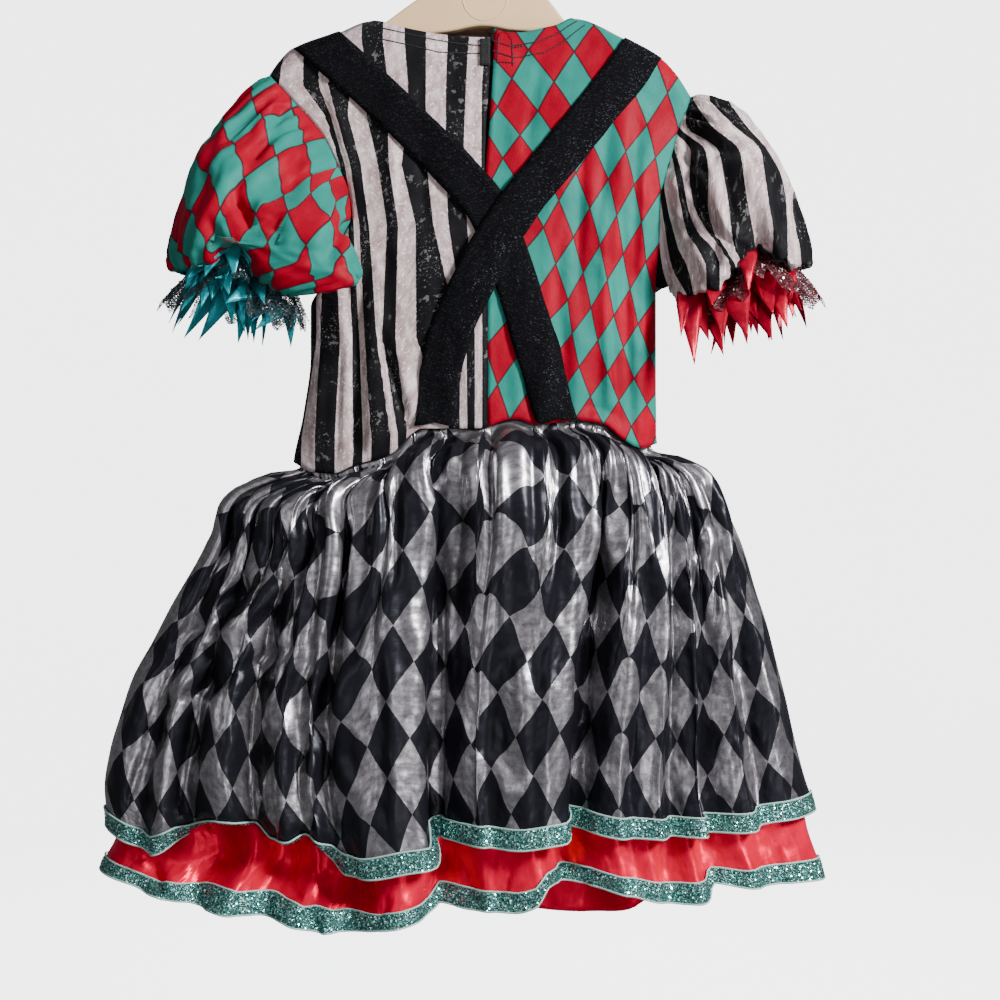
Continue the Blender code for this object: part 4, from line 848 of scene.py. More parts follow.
def joined_strips(name, grids, thickness, material, node):
    """Several small strips as one piece; the UVs run along and across each strip."""
    points, faces, places = [], [], []
    for n, grid in enumerate(grids):
        base, columns = len(points), len(grid[0])
        points += in_metres(grid)
        for i, j, face in quads(len(grid), columns):
            faces.append(tuple(base + corner for corner in face))
            for a, b in ((i, j), (i, j + 1), (i + 1, j + 1), (i + 1, j)):
                places.append((0.05 * n + 0.012 * b / (columns - 1), 0.04 * a / len(grid)))
    mesh = new_mesh(name, points, faces)
    lay_flat(mesh, places)
    piece = finished(mesh, [material])
    thicken(piece, thickness)
    return ride(piece, node)


def outwards_from(middle, point):
    """Level way out from the middle of a cuff."""
    out = point - middle
    out.z = 0
    return out


def cuff_petals(left, edge):
    """The petals that show, then rows of plain ones round the rest of the cuff."""
    hang = Vector(SLEEVES[left][4]).normalized()
    middle = sum(edge, Vector()) / len(edge)
    grids = []
    for x0, z0, x1, z1, width, y, curl in LEFT_PETALS if left else RIGHT_PETALS:
        root, tip = seen(x0, z0, y), seen(x1, z1, y - 3)
        root.y = max(root.y, middle.y - (20 if z0 > -275 else 11))
        grids.append(petal(root, tip, width, curl, Vector((0, -1, 0))))
    count = 22
    for k in range(count):
        share = (k + 0.5 * math.sin(5 * k)) / count
        point = edge[int(share * len(edge)) % len(edge)]
        out = outwards_from(middle, point)
        if out.y < 0.25 * out.length:
            continue
        out.normalize()
        uneven = math.sin(7.3 * k)
        root = point - out * 6 + hang * 4
        tip = root + hang * (40 + 5 * uneven) + out * (10 + 4 * math.sin(3.1 * k))
        tip += out.cross(hang) * 6 * uneven
        grids.append(petal(root, tip, 14 + 3 * uneven, 5 * math.sin(2.3 * k), out))
    return grids


def net_cloth(left, edge):
    """A short flared frill of net under the sleeve's edge, its lower edge uneven."""
    hang = Vector(SLEEVES[left][4]).normalized()
    middle = sum(edge, Vector()) / len(edge)
    grid = []
    for t in spread(10):
        line = []
        for j, point in enumerate(edge):
            out = outwards_from(middle, point).normalized()
            phase = 2 * math.pi * j / len(edge)
            ruffle = (1.0 + 2.4 * t) * math.sin(17 * phase + 2 * math.sin(3 * phase))
            drop = -4 + (27 + 5 * math.sin(23 * phase) + 4 * math.sin(9 * phase)) * t
            line.append(point + hang * drop + out * (17 * max(0, t - 0.1) - 4.0 + ruffle))
        grid.append(line)
    return Cloth(grid, closed=True, centre=(middle.x, middle.y))


# ---- skirts ----
def skirt_section(share, down, front, inset=0.0, spread_by=0.0, gather_height=0.0):
    """A point of a skirt's ring and its outward direction."""
    folds = FRONT_SKIRT_FOLDS if front else BACK_SKIRT_FOLDS
    left = through(SKIRT_RINGS, down, 1) + inset
    right = through(SKIRT_RINGS, down, 2) - inset
    depth = through(SKIRT_RINGS, down, 4 if front else 3) - inset
    across = mix(through(GATHER_MAP, share), share, min(1.0, down) ** 0.8)
    power = mix(PLAN_SQUARENESS, 2.0, min(1.0, down * 4))
    deep = superellipse(1 - abs(2 * across - 1), power)
    side = 1.0 if front else -1.0
    half = (right - left) / 2
    out = Vector(((2 * across - 1) / half, side * deep / depth, 0.0)).normalized()
    dip, over = 0.0, 0.0
    for at_hem, drift, fold_depth, steep, gentle, full_at in folds:
        away = share - at_hem - drift * (1 - down)
        strength = ramp(0.02, full_at, down)
        width = (steep if away < 0 else gentle) + spread_by
        deeper = DEEPER if fold_depth > DEEP_FOLD else DEEP
        dip = max(dip, deeper * fold_depth * strength * math.exp(-((away / width) ** 2)))
        if fold_depth > LAPPED_FOLD and not spread_by:
            over += LAP * strength * math.exp(-(((away + 0.012) / 0.010) ** 2))
    if gather_height and down < GATHER_END:
        phase = 2 * math.pi * GATHERS[front] * share + 1.1 * math.sin(9 * share)
        rise = ramp(0.0, 0.06, down) * (1 - ramp(0.12, GATHER_END, down))
        dip += gather_height * (0.7 + 0.3 * math.sin(17 * share + 1.0)) * math.cos(phase) * rise
    point = Vector((mix(left, right, across), side * depth * deep, 0.0)) - out * dip
    point.x += over
    return point, out


def curl_strength(share):
    inside = ramp(CURL_FROM - CURL_FADE, CURL_FROM + CURL_FADE, share)
    return inside * (1 - ramp(CURL_TO - CURL_FADE, CURL_TO + CURL_FADE, share))


def waist_height(share):
    """Height of a skirt's upper edge, just past the waist seam."""
    return through(WAIST, mix(WAIST[0][0], WAIST[-1][0], through(GATHER_MAP, share))) + WAIST_OVERLAP


def outer_skirt_point(share, down, front):
    point, out = skirt_section(share, down, front, gather_height=GATHER_HEIGHT)
    waist_z = waist_height(share)
    hem = through(OUTER_HEM_FRONT if front else OUTER_HEM_BACK, share)
    point.z = mix(waist_z, hem, down)
    turn = 0.0 if front else curl_strength(share) * CURL_TURN
    if turn > 0.01 and down > CURL_START:
        start, _ = skirt_section(share, CURL_START, front)
        length = (waist_z - hem) * (1 - CURL_START)
        along = (down - CURL_START) / (1 - CURL_START)
        radius = length / turn
        point = start - out * radius * (1 - math.cos(turn * along))
        point.z = mix(waist_z, hem, CURL_START) - radius * math.sin(turn * along)
    return point


def under_skirt_point(share, down, front):
    """A point of the underskirt; past 1 it hangs below the outer skirt's hem."""
    above, below = min(1.0, down), max(0.0, down - 1.0)
    inset = mix(WAIST_INSET, BODY_INSET, ramp(0.0, 0.08, down))
    inset = mix(inset, HEM_INSET, ramp(0.55, 0.97, down))
    if not front:
        rolled = max(curl_strength(share - CURL_FADE), curl_strength(share + CURL_FADE))
        inset += ROLL_INSET * rolled * ramp(0.6, 0.93, down)
    inset *= 1 - 0.9 * ramp(0.2, 1.0, below)
    reach = above + TAIL_REACH * below
    point, _ = skirt_section(share, reach, front, inset, UNDER_FOLD_SPREAD)
    waist_z = waist_height(share)
    outer_hem = through(OUTER_HEM_FRONT if front else OUTER_HEM_BACK, share)
    under_hem = through(UNDER_HEM_FRONT if front else UNDER_HEM_BACK, share)
    point.z = mix(outer_hem, under_hem, below) if below else mix(waist_z, outer_hem, above)
    return point


# pulls and long soft folds of the outer skirt's back: as the creases above
SKIRT_CREASES = (
    (-116, -484, -200, -602, 5, 2.6), (-122, -478, -208, -592, 6, -2.2),
    (-150, -500, -215, -560, 4, 1.8), (-128, -560, -240, -612, 5, 1.8),
    (-178, -470, -190, -520, 4, 1.8), (-112, -438, -130, -520, 4, 2.4),
    (-104, -445, -112, -560, 4.5, -2.2), (-60, -440, -60, -520, 4, 2.2),
    (-88, -470, -96, -640, 4, -1.8), (-150, -620, -146, -700, 3.5, 1.8),
    (-100, -600, -120, -690, 5, 1.4), (-72, -560, -64, -690, 5, 1.4),
    (15, -420, 18, -560, 5.5, -2), (-12, -420, -18, -560, 4.5, 1.6),
    (38, -415, 40, -520, 4, 1.8), (30, -560, 34, -690, 6, -1.4), (0, -600, -6, -690, 6, 1.2),
    (62, -560, 40, -590, 4, 0.9), (172, -495, 172, -545, 2.8, 2.4), (168, -470, 150, -520, 4, 1.8),
    (105, -430, 112, -520, 4.5, 2.2), (122, -420, 136, -500, 4.5, 2), (92, -415, 96, -500, 4, -1.8),
    (150, -560, 158, -680, 4.5, 1.8), (190, -560, 206, -680, 4.5, 1.8), (196, -520, 222, -640, 5, -1.6),
    (130, -600, 118, -690, 5, 1.4), (-235, -620, -262, -690, 5, 1.6), (-205, -610, -222, -700, 5, 1.8),
    (-118, -480, -257, -588, 6, 2.4), (-121, -498, -243, -613, 6, -1.6),
    (-110, -550, -166, -665, 5, 2), (-62, -508, -131, -648, 6, 2), (-70, -530, -128, -680, 7, -1.6),
    (-28, -500, -31, -715, 4, 4), (76, -440, 74, -700, 6, 3.2), (-100, -520, -98, -700, 7, -2.4),
    (-66, -480, -60, -700, 8, -2.2), (52, -470, 46, -700, 7, -2), (110, -500, 116, -700, 8, -2.2),
)
# creases of the underskirt where it hangs below the outer hem at the back
UNDER_CREASES = (
    (-247, -716, -221, -756, 3.5, 2.8), (-210, -718, -199, -762, 4, 2.6),
    (-232, -722, -212, -758, 4.5, -1.8), (-168, -728, -176, -766, 4, 2.4),
    (-135, -735, -109, -772, 3.5, 3), (-150, -730, -140, -770, 5, -2),
    (-104, -738, -98, -776, 3.5, 2.4), (-64, -736, -76, -768, 3.5, 2.2),
    (-10, -715, 0, -748, 4, 1.8), (22, -712, 14, -746, 4, 1.8),
    (84, -712, 74, -742, 4, 2.2), (128, -708, 140, -746, 4, 2.2),
    (176, -706, 168, -744, 4, 2), (214, -704, 224, -742, 4.5, 2.2),
)


def gather_place(u, seed):
    """Where a place along the waist is within its gather, from 0 to 1."""
    place = (u + 9 * math.sin(0.043 * u + seed)) / GATHER
    return place - math.floor(place)


def drawn_in(within, kept):
    """How far the print shifts in a gather when only a part of its width shows."""
    if within < 0.86:
        return (kept - 1) * within
    return mix(kept * 0.86, 1.0, (within - 0.86) / 0.14) - within


@functools.cache
def skirt_cloth(outer, front):
    """Half of a skirt: rows from the waist down, columns from the left side seam."""
    if outer:
        downs = spread(60 if front else 84)
        point_at = outer_skirt_point
    else:
        downs = spread(40) + [1 + t for t in spread(20)[1:]]
        point_at = under_skirt_point
    shares = []
    for even in spread(SKIRT_COLUMNS[outer, front]):
        angle = math.pi * even + 0.22 * math.sin(2 * math.pi * even)
        shares.append((1 - math.cos(angle)) / 2)
    cloth = Cloth([[point_at(share, down, front) for share in shares] for down in downs])
    widths_across = [sum((b - a).length for a, b in zip(line, line[1:])) for line in cloth.grid]
    side = 1 if front else -1
    seed = 40.0 + 5 * outer + 2 * front
    hem_row = next(i for i, down in enumerate(downs) if down >= (0.9 if outer else 1.0))
    cloth.measure(row_for_u=hem_row)
    widths = cloth.uv[0]

    def height(i, j, point):
        down, share = downs[i], shares[j]
        u = widths[j][0]
        free = ramp(0.0, 0.05, down) * ramp(0.0, 0.02, share) * (1 - ramp(0.98, 1.0, share))
        near_hem = 1 - 0.75 * ramp(0.88, 0.94, down) if outer else 1.0
        wave = rumple(u, point.z, seed, 36, 90, 2.4) + 0.5 * rumple(u, point.z, seed + 9, 12, 22, 1.0)
        wave += 1.5 * (ridge(u / 34 + 0.1 * point.z / 60, point.z / 120, seed + 5) - 0.5)
        drawn = ridge(u / 38, point.z / 150, seed + 11) - 0.5
        small = math.sin(u * 0.36 + 2.6 * math.sin(u * 0.053))
        gathers = 5.4 * drawn * ramp(0.0, 0.06, down) * (1 - ramp(0.16, 0.60, down))
        gathers += 0.9 * small * ramp(0.0, 0.03, down) * (1 - ramp(0.05, 0.22, down))
        within = gather_place(u, seed)
        away = min(abs(within - 0.93), 1 - abs(within - 0.93))
        puff = 2.6 * math.sin(math.pi * within) - 6.0 * math.exp(-((away / 0.055) ** 2))
        gathers += puff * ramp(0.0, 0.05, down) * (1 - ramp(0.12, 0.70, down))
        if not outer:
            hanging = ramp(1.02, 1.25, down)
            dips = 0.0 if front else crease(UNDER_CREASES, point.x, point.z) * hanging
            return (0.55 * wave * (0.4 + 0.6 * ramp(0.85, 1.0, down) + 0.6 * hanging) - dips) * free
        dips = 0.0 if front else 1.8 * crease(SKIRT_CREASES, point.x, point.z)
        return (wave * near_hem + gathers - dips) * free

    cloth.shape(height)
    for line in cloth.grid:
        for point in line:
            if (point.y - side * SEAM_GAP / 2) * side < 0:
                point.y = side * SEAM_GAP / 2
        for share, point in zip(shares, line) if front else ():
            lapped = 1 - ramp(0, 0.006, min(share, 1 - share))
            point.x += SEAM_LAP * lapped * (1 if share < 0.5 else -1)
            point.y -= SEAM_DRAW * lapped
    cloth.normals = cloth.find_normals()
    cloth.measure(row_for_u=hem_row)
    cloth.downs, cloth.shares = downs, shares
    if outer:
        for width, line in zip(widths_across, cloth.uv):
            kept = min(1.0, width / widths_across[hem_row])
            line[:] = [(u + GATHER * drawn_in(gather_place(u, seed), kept), v) for u, v in line]
    return cloth


def moved_out(points, ways, lift):
    return [p + n * lift for p, n in zip(points, ways)]


def ribbon_cloth(base, from_row):
    """Ribbon along a skirt's lowest rows: the same points, moved out."""
    rows = zip(base.grid[from_row:], base.normals[from_row:])
    grid = [moved_out(points, ways, RIBBON_LIFT) for points, ways in rows]
    cloth = Cloth(grid)
    cloth.measure(row_for_u=0)
    for i, line in enumerate(cloth.uv):
        for j, (u, _) in enumerate(line):
            line[j] = (u, RIBBON_WIDTH * i / (len(grid) - 1))
    return cloth


# ---- straps ----
def strap_line(table, steps, front):
    rows = [(i, *row) for i, row in enumerate(table)]
    places = [k / steps * (len(table) - 1) for k in range(steps + 1)]
    middles = [Vector((through(rows, p, 1), 0, through(rows, p, 2))) for p in places]
    sections = []
    for k, middle in enumerate(middles):
        along = middles[min(k + 1, steps)] - middles[max(k - 1, 0)]
        across = Vector((-along.z, 0, along.x)).normalized() * (-1 if front else 1)
        sections.append((middle, across, through(rows, places[k], 3)))
    return sections


def strap_cloth(left):
    """A strap from the back waist over the shoulder to the front waist."""
    back_table = LEFT_STRAP_BACK if left else RIGHT_STRAP_BACK
    front_table = LEFT_STRAP_FRONT if left else RIGHT_STRAP_FRONT
    fold = LEFT_STRAP_FOLD if left else RIGHT_STRAP_FOLD
    columns = [c / 4 for c in range(-4, 5)]

    def on_side(table, steps, front):
        lines = []
        for k, (middle, across, half) in enumerate(strap_line(table, steps, front)):
            line = []
            end = 0.0 if front else 1 - ramp(0.0, 0.14, k / steps)
            for offset in columns:
                place = middle + across * half * offset
                slant = 10.0 * max(0.0, -offset) if left else 5.0 * max(0.0, offset)
                place.z -= end * (1 + slant)
                hit, normal = find_on_bodice(place.x, place.z, front)
                lift = STRAP_LIFT - 0.35 * offset ** 6
                if not left and not front:
                    near = math.hypot(place.x - STRAP_CROSS[0], place.z - STRAP_CROSS[1])
                    inside = ramp(STRAP_CROSS_REACH * 0.6, STRAP_CROSS_REACH, near)
                    lift += STRAP_CROSS_LIFT * (1 - inside)
                line.append(hit + normal * lift)
            lines.append(line)
        return lines

    back = on_side(back_table, STRAP_BACK_STEPS, False)
    front = on_side(front_table, STRAP_FRONT_STEPS, True)
    shoulder = []
    for share in [k / 12 for k in range(-11, 12)]:
        section = front[0] if share > 0 else back[-1]
        line = []
        for c, side_point in zip(columns, section):
            x = mix(fold[0], fold[1], (1 - c) / 2)
            z = through(HANG_LINE, x)
            if abs(share) < 0.05:
                point, normal = Vector((x, 0.0, z)), Vector((0, 0, 1))
            else:
                place = mix(Vector((x, 0, z)), side_point, abs(share))
                point, normal = find_on_bodice(place.x, place.z, share > 0)
            line.append(point + normal * SHOULDER_LIFT)
        shoulder.append(line)
    grid = back + shoulder + front
    for _ in range(3):
        grid = [grid[0]] + [
            [(a + b * 2 + c) / 4 for a, b, c in zip(before, here, after)]
            for before, here, after in zip(grid, grid[1:], grid[2:])
        ] + [grid[-1]]
    cloth = Cloth(grid, centre=(CENTRE_X, 0.0))
    outward = sum(
        n.y * (1 if p.y > 0 else -1)
        for line, ways in zip(cloth.grid, cloth.normals) for p, n in zip(line, ways)
    )
    if outward < 0:
        cloth.normals = [[-n for n in line] for line in cloth.normals]
    cloth.measure()
    return cloth


# ---- shader wiring ----
def srgb(red, green, blue):
    """Linear colour of a shade as it looks, 0 to 255."""
    return tuple(((c / 255 + 0.055) / 1.055) ** 2.4 for c in (red, green, blue))


class Wiring:
    """Adds nodes to one shader tree; an input is a value or another node's output."""

    def __init__(self, tree):
        self.tree = tree

    def join(self, value, socket):
        if isinstance(value, bpy.types.NodeSocket):
            self.tree.links.new(value, socket)
        elif socket.type == "RGBA" and len(value) == 3:
            socket.default_value = (*value, 1.0)
        else:
            socket.default_value = value

    def add(self, kind, inputs=(), **settings):
        node = self.tree.nodes.new("ShaderNode" + kind)
        for name, value in settings.items():
            setattr(node, name, value)
        for key, value in dict(inputs).items():
            self.join(value, node.inputs[key])
        return node

    def math(self, operation, *values):
        node = self.add("Math", operation=operation)
        for value, socket in zip(values, node.inputs):
            self.join(value, socket)
        return node.outputs[0]

    def vector(self, operation, *values):
        node = self.add("VectorMath", operation=operation)
        for value, socket in zip(values, node.inputs):
            self.join(value, socket)
        return node.outputs[0]

    def scaled(self, vector, factor):
        node = self.add("VectorMath", {0: vector, 3: factor}, operation="SCALE")
        return node.outputs[0]

    def axes(self, place):
        return self.add("SeparateXYZ", {"Vector": place}).outputs

    def cloth(self):
        return self.add("UVMap", uv_map="cloth").outputs[0]

    def object(self):
        return self.add("TexCoord").outputs["Object"]

    def blend(self, share, first, second):
        node = self.add("Mix", data_type="RGBA", blend_type="MIX", clamp_factor=True)
        for value, index in ((share, 0), (first, 6), (second, 7)):
            self.join(value, node.inputs[index])
        return node.outputs[2]

    def noise(self, place, scale, detail=2.0, rough=0.5):
        node = self.add(
            "TexNoise", {"Vector": place, "Scale": scale, "Detail": detail, "Roughness": rough})
        return node.outputs["Fac"]

    def stretched(self, place, x, y, z=1.0):
        return self.vector("MULTIPLY", place, (x, y, z))

    def remap(self, value, low, high, to_low=0.0, to_high=1.0):
        node = self.add("MapRange", clamp=True)
        for new, socket in zip((value, low, high, to_low, to_high), node.inputs):
            self.join(new, socket)
        return node.outputs[0]

    def group(self, tree, **inputs):
        return self.add("Group", inputs, node_tree=tree).outputs

    def bumped(self, *heights, normal=None):
        """Normal from several heights, each with its depth in metres."""
        for height, depth in heights:
            inputs = {"Height": height, "Distance": depth, "Strength": 1.0}
            if normal is not None:
                inputs["Normal"] = normal
            normal = self.add("Bump", inputs).outputs[0]
        return normal

    def tinted(self, place, colour, darker, scale, amount):
        """A colour that drifts towards a darker one over the surface."""
        tone = self.group(uneven_tone(), Vector=place, Scale=scale)["Tone"]
        return self.blend(self.math("MULTIPLY", tone, amount), colour, darker)

    def coat(self, shader, colour, roughness, normal, metal=None):
        """Joins a finish to the Principled shader's inputs."""
        self.join(colour, shader["Base Color"])
        self.join(roughness, shader["Roughness"])
        self.join(normal, shader["Normal"])
        if metal is not None:
            self.join(metal, shader["Metallic"])


def new_sockets(tree, way, sockets):
    for label, kind in sockets.items():
        tree.interface.new_socket(name=label, in_out=way, socket_type="NodeSocket" + kind)


def effect(name, inputs, outputs):
    """An empty node group with named sockets; gives its wiring, its inputs and its outputs."""
    tree = bpy.data.node_groups.new(name, "ShaderNodeTree")
    new_sockets(tree, "INPUT", inputs)
    new_sockets(tree, "OUTPUT", outputs)
    start, end = tree.nodes.new("NodeGroupInput"), tree.nodes.new("NodeGroupOutput")
    return Wiring(tree), start.outputs, end.inputs


@functools.cache
def uneven_tone():
    """Slow change of shade over cloth or plastic."""
    w, given, result = effect(
        "Uneven Tone", {"Vector": "Vector", "Scale": "Float"}, {"Tone": "Float"})
    broad = w.noise(given["Vector"], given["Scale"], 3.0, 0.6)
    w.join(w.remap(broad, 0.3, 0.7), result["Tone"])
    return w.tree


@functools.cache
def jersey_knit():
    """Wales of a fine knit: small Vs in columns."""
    w, given, result = effect(
        "Jersey Knit", {"Vector": "Vector", "Pitch": "Float"}, {"Height": "Float"})
    place = w.axes(w.scaled(given["Vector"], w.math("DIVIDE", 1.0, given["Pitch"])))
    wale = w.math("PINGPONG", place[0], 0.5)
    loop = w.math("SINE", w.math("MULTIPLY", w.math("ADD", place[1], wale), 6.283))
    height = w.math("ADD", w.math("MULTIPLY", wale, 1.2), w.math("MULTIPLY", loop, 0.35))
    w.join(height, result["Height"])
    return w.tree


@functools.cache
def satin_threads():
    """Long floating threads: thin uneven streaks across the piece and small pulls."""
    w, given, result = effect(
        "Satin Threads", {"Vector": "Vector"}, {"Height": "Float", "Streak": "Float"})
    thread = w.noise(w.stretched(given["Vector"], 260.0, 3200.0), 1.0, 1.0)
    streak = w.noise(w.stretched(given["Vector"], 30.0, 380.0), 1.0, 3.0, 0.7)
    w.join(thread, result["Height"])
    w.join(w.remap(streak, 0.3, 0.7), result["Streak"])
    return w.tree


@functools.cache
def worn_print():
    """Flecks and scratches where a printed colour has missed or rubbed off."""
    w, given, result = effect(
        "Worn Print", {"Vector": "Vector", "Amount": "Float"}, {"Missing": "Float"})
    patches = w.noise(given["Vector"], 26.0, 2.0)
    fleck = w.noise(given["Vector"], 560.0, 3.0, 0.75)
    low = w.math("SUBTRACT", 0.71, w.math("MULTIPLY", w.remap(patches, 0.4, 0.62), given["Amount"]))
    white = w.remap(fleck, low, w.math("ADD", low, 0.06))
    rubbed = w.remap(w.noise(given["Vector"], 130.0, 3.0, 0.6), 0.60, 0.63, 0.0, 0.30)
    rubbed = w.math("MULTIPLY", rubbed, w.remap(patches, 0.42, 0.5))
    w.join(w.math("MAXIMUM", white, rubbed), result["Missing"])
    return w.tree


@functools.cache
def diamond_lattice():
    """Rows of diamonds: Second is 1 in every other row, Line is 1 on their outlines."""
    w, given, result = effect(
        "Diamond Lattice",
        {"Vector": "Vector", "Width": "Float", "Height": "Float", "Line": "Float"},
        {"Second": "Float", "Line": "Float"})
    place = w.axes(given["Vector"])
    across = w.math("DIVIDE", place[0], given["Width"])
    up = w.math("DIVIDE", place[1], given["Height"])
    rising, falling = w.math("ADD", across, up), w.math("SUBTRACT", across, up)
    cells = w.math("ADD", w.math("FLOOR", rising), w.math("FLOOR", falling))
    w.join(w.math("FLOORED_MODULO", cells, 2.0), result["Second"])
    near = w.math("MINIMUM", w.math("PINGPONG", rising, 0.5), w.math("PINGPONG", falling, 0.5))
    half = w.math("MULTIPLY", given["Line"], 0.5)
    w.join(w.remap(near, w.math("MULTIPLY", half, 0.6), half, 1.0, 0.0), result["Line"])
    return w.tree


@functools.cache
def printed_stripes():
    """Dark is 1 in every other stripe; the edges are a little rough."""
    w, given, result = effect(
        "Printed Stripes", {"Vector": "Vector", "Width": "Float"}, {"Dark": "Float"})
    uneven = w.math("SUBTRACT", w.noise(given["Vector"], 420.0, 2.0), 0.5)
    rough_edge = w.math("MULTIPLY", uneven, 0.0011)
    place = w.axes(given["Vector"])[0]
    cell = w.math("DIVIDE", w.math("ADD", place, rough_edge), given["Width"])
    w.join(w.math("FLOORED_MODULO", w.math("FLOOR", cell), 2.0), result["Dark"])
    return w.tree


@functools.cache
def glitter():
    """Tiny flakes, each tilted its own way."""
    w, given, result = effect(
        "Glitter", {"Vector": "Vector", "Size": "Float", "Share": "Float", "Tilt": "Float"},
        {"Flake": "Float", "Shade": "Float", "Normal": "Vector"})
    cells = w.add(
        "TexVoronoi", {"Vector": given["Vector"], "Scale": w.math("DIVIDE", 1.0, given["Size"])})
    random = w.axes(cells.outputs["Color"])
    w.join(w.math("LESS_THAN", random[2], given["Share"]), result["Flake"])
    w.join(random[0], result["Shade"])
    lean = w.vector("SUBTRACT", cells.outputs["Color"], (0.5, 0.5, 0.5))
    surface = w.add("NewGeometry").outputs["Normal"]
    tilted = w.vector("ADD", surface, w.scaled(lean, given["Tilt"]))
    w.join(w.vector("NORMALIZE", tilted), result["Normal"])
    return w.tree


def new_material(name):
    material = bpy.data.materials.new(name)
    material.use_nodes = True
    material.node_tree.nodes.clear()
    w = Wiring(material.node_tree)
    shader = w.add("BsdfPrincipled")
    w.join(shader.outputs[0], w.add("OutputMaterial").inputs["Surface"])
    return material, w, shader.inputs


def times(colour, factor):
    return tuple(c * factor for c in colour)


def jersey_finish(shader, w, place, colour, roughness):
    shader["Sheen Weight"].default_value = 0.01
    shader["Specular IOR Level"].default_value = 0.06
    knit = w.group(jersey_knit(), Vector=place, Pitch=0.0011)["Height"]
    slub = w.noise(place, 160.0, 2.0)
    w.coat(shader, colour, roughness, w.bumped((knit, 0.00006), (slub, 0.00030)))


@functools.cache
def stripe_jersey():
    """Printed stripes: flecked black, and cream mottled with pink and brown."""
    colours, sizes = bpy.context.scene.costume_colours, bpy.context.scene.costume_sizes
    material, w, shader = new_material("stripe_jersey_print")
    place = w.cloth()
    dark = w.group(printed_stripes(), Vector=place, Width=sizes.stripe_width)["Dark"]
    missing = w.group(worn_print(), Vector=place, Amount=0.12)["Missing"]
    streak = w.noise(w.stretched(place, 150.0, 60.0), 1.0, 4.0, 0.65)
    cream = w.blend(w.remap(streak, 0.36, 0.62), colours.cream, (0.42, 0.31, 0.32))
    pink = w.noise(place, 75.0, 3.0, 0.6)
    cream = w.blend(w.remap(pink, 0.44, 0.66, 0.0, 0.9), cream, (0.33, 0.22, 0.23))
    spots = w.noise(place, 330.0, 3.0, 0.7)
    cream = w.blend(w.remap(spots, 0.56, 0.68), cream, (0.98, 0.93, 0.92))
    black = w.tinted(place, colours.black, (0.010, 0.010, 0.012), 38.0, 0.9)
    black = w.blend(missing, black, (0.30, 0.29, 0.29))
    shade = w.blend(dark, cream, black)
    jersey_finish(shader, w, place, shade, w.remap(streak, 0.3, 0.7, 0.50, 0.62))
    return material


@functools.cache
def diamond_jersey():
    """Printed rows of red and teal diamonds with thin dark outlines."""
    colours, sizes = bpy.context.scene.costume_colours, bpy.context.scene.costume_sizes
    material, w, shader = new_material("diamond_jersey_print")
    place = w.cloth()
    lattice = w.group(
        diamond_lattice(), Vector=place, Width=sizes.diamond_width,
        Height=sizes.diamond_height, Line=0.058)
    red = w.tinted(place, colours.red, (0.22, 0.0, 0.010), 20.0, 0.9)
    teal = w.tinted(place, colours.teal, (0.014, 0.16, 0.13), 20.0, 0.9)
    shade = w.blend(lattice["Second"], red, teal)
    shade = w.blend(w.math("MULTIPLY", lattice["Line"], 0.85), shade, (0.035, 0.004, 0.009))
    grain = w.noise(place, 900.0, 1.0)
    jersey_finish(shader, w, place, shade, w.remap(grain, 0.3, 0.7, 0.38, 0.50))
    return material


@functools.cache
def jersey_reverse():
    """Unprinted back of the jersey, coloured the dark brown-grey that its paler face shows in shade:
    painted shade.
    """
    material, w, shader = new_material("jersey_reverse")
    place = w.cloth()
    # painted shade: the dark brown-grey stands in for the paler inner face lying in shade
    shade = w.tinted(place, (0.20, 0.15, 0.13), (0.10, 0.075, 0.07), 30.0, 1.0)
    jersey_finish(shader, w, place, shade, 0.7)
    return material


def satin_finish(shader, w, place, colour, roughness, gloss, metal):
    threads = w.group(satin_threads(), Vector=place)
    shader["Specular IOR Level"].default_value = gloss
    shader["Anisotropic"].default_value = 0.35
    crinkle = w.noise(w.stretched(place, 60.0, 36.0), 1.0, 2.0, 0.5)
    rough = w.remap(threads["Streak"], 0.0, 1.0, roughness - 0.05, roughness + 0.07)
    w.coat(shader, colour, rough, w.bumped(
        (crinkle, 0.0030), (threads["Streak"], 0.00003), (threads["Height"], 0.00001)), metal)


@functools.cache
def satin_harlequin():
    """Satin printed with black and charcoal diamonds, the grey ones dappled."""
    colours, sizes = bpy.context.scene.costume_colours, bpy.context.scene.costume_sizes
    material, w, shader = new_material("satin_harlequin_print")
    place = w.cloth()
    lattice = w.group(
        diamond_lattice(), Vector=place, Width=sizes.satin_width,
        Height=sizes.satin_height, Line=0.02)
    dapple = w.noise(place, 170.0, 4.0, 0.7)
    speck = w.noise(place, 900.0, 2.0, 0.7)
    grey = w.blend(w.remap(dapple, 0.38, 0.66), colours.satin_grey, (0.38, 0.365, 0.39))
    grey = w.blend(w.remap(speck, 0.55, 0.75, 0.0, 0.4), grey, (0.60, 0.58, 0.62))
    shade = w.blend(lattice["Second"], grey, colours.satin_black)
    metal = w.remap(lattice["Second"], 0.0, 1.0, 0.88, 0.45)
    satin_finish(shader, w, place, shade, 0.33, 0.22, metal)
    return material


@functools.cache
def red_satin():
    """Plain crinkled satin of the underskirt."""
    material, w, shader = new_material("red_satin")
    place = w.cloth()
    shade = w.tinted(place, bpy.context.scene.costume_colours.satin_red, (0.50, 0.001, 0.024), 18.0, 0.9)
    satin_finish(shader, w, place, shade, 0.36, 0.06, 0.40)
    return material


@functools.cache
def petal_satin(colour_name):
    """Soft satin ribbon of the cuff petals."""
    material, w, shader = new_material("petal_" + colour_name)
    place = w.cloth()
    colour = tuple(getattr(bpy.context.scene.costume_colours, colour_name))
    shade = w.tinted(place, colour, times(colour, 0.35), 60.0, 1.0)
    satin_finish(shader, w, place, shade, 0.33, 0.15, 0.4)
    return material


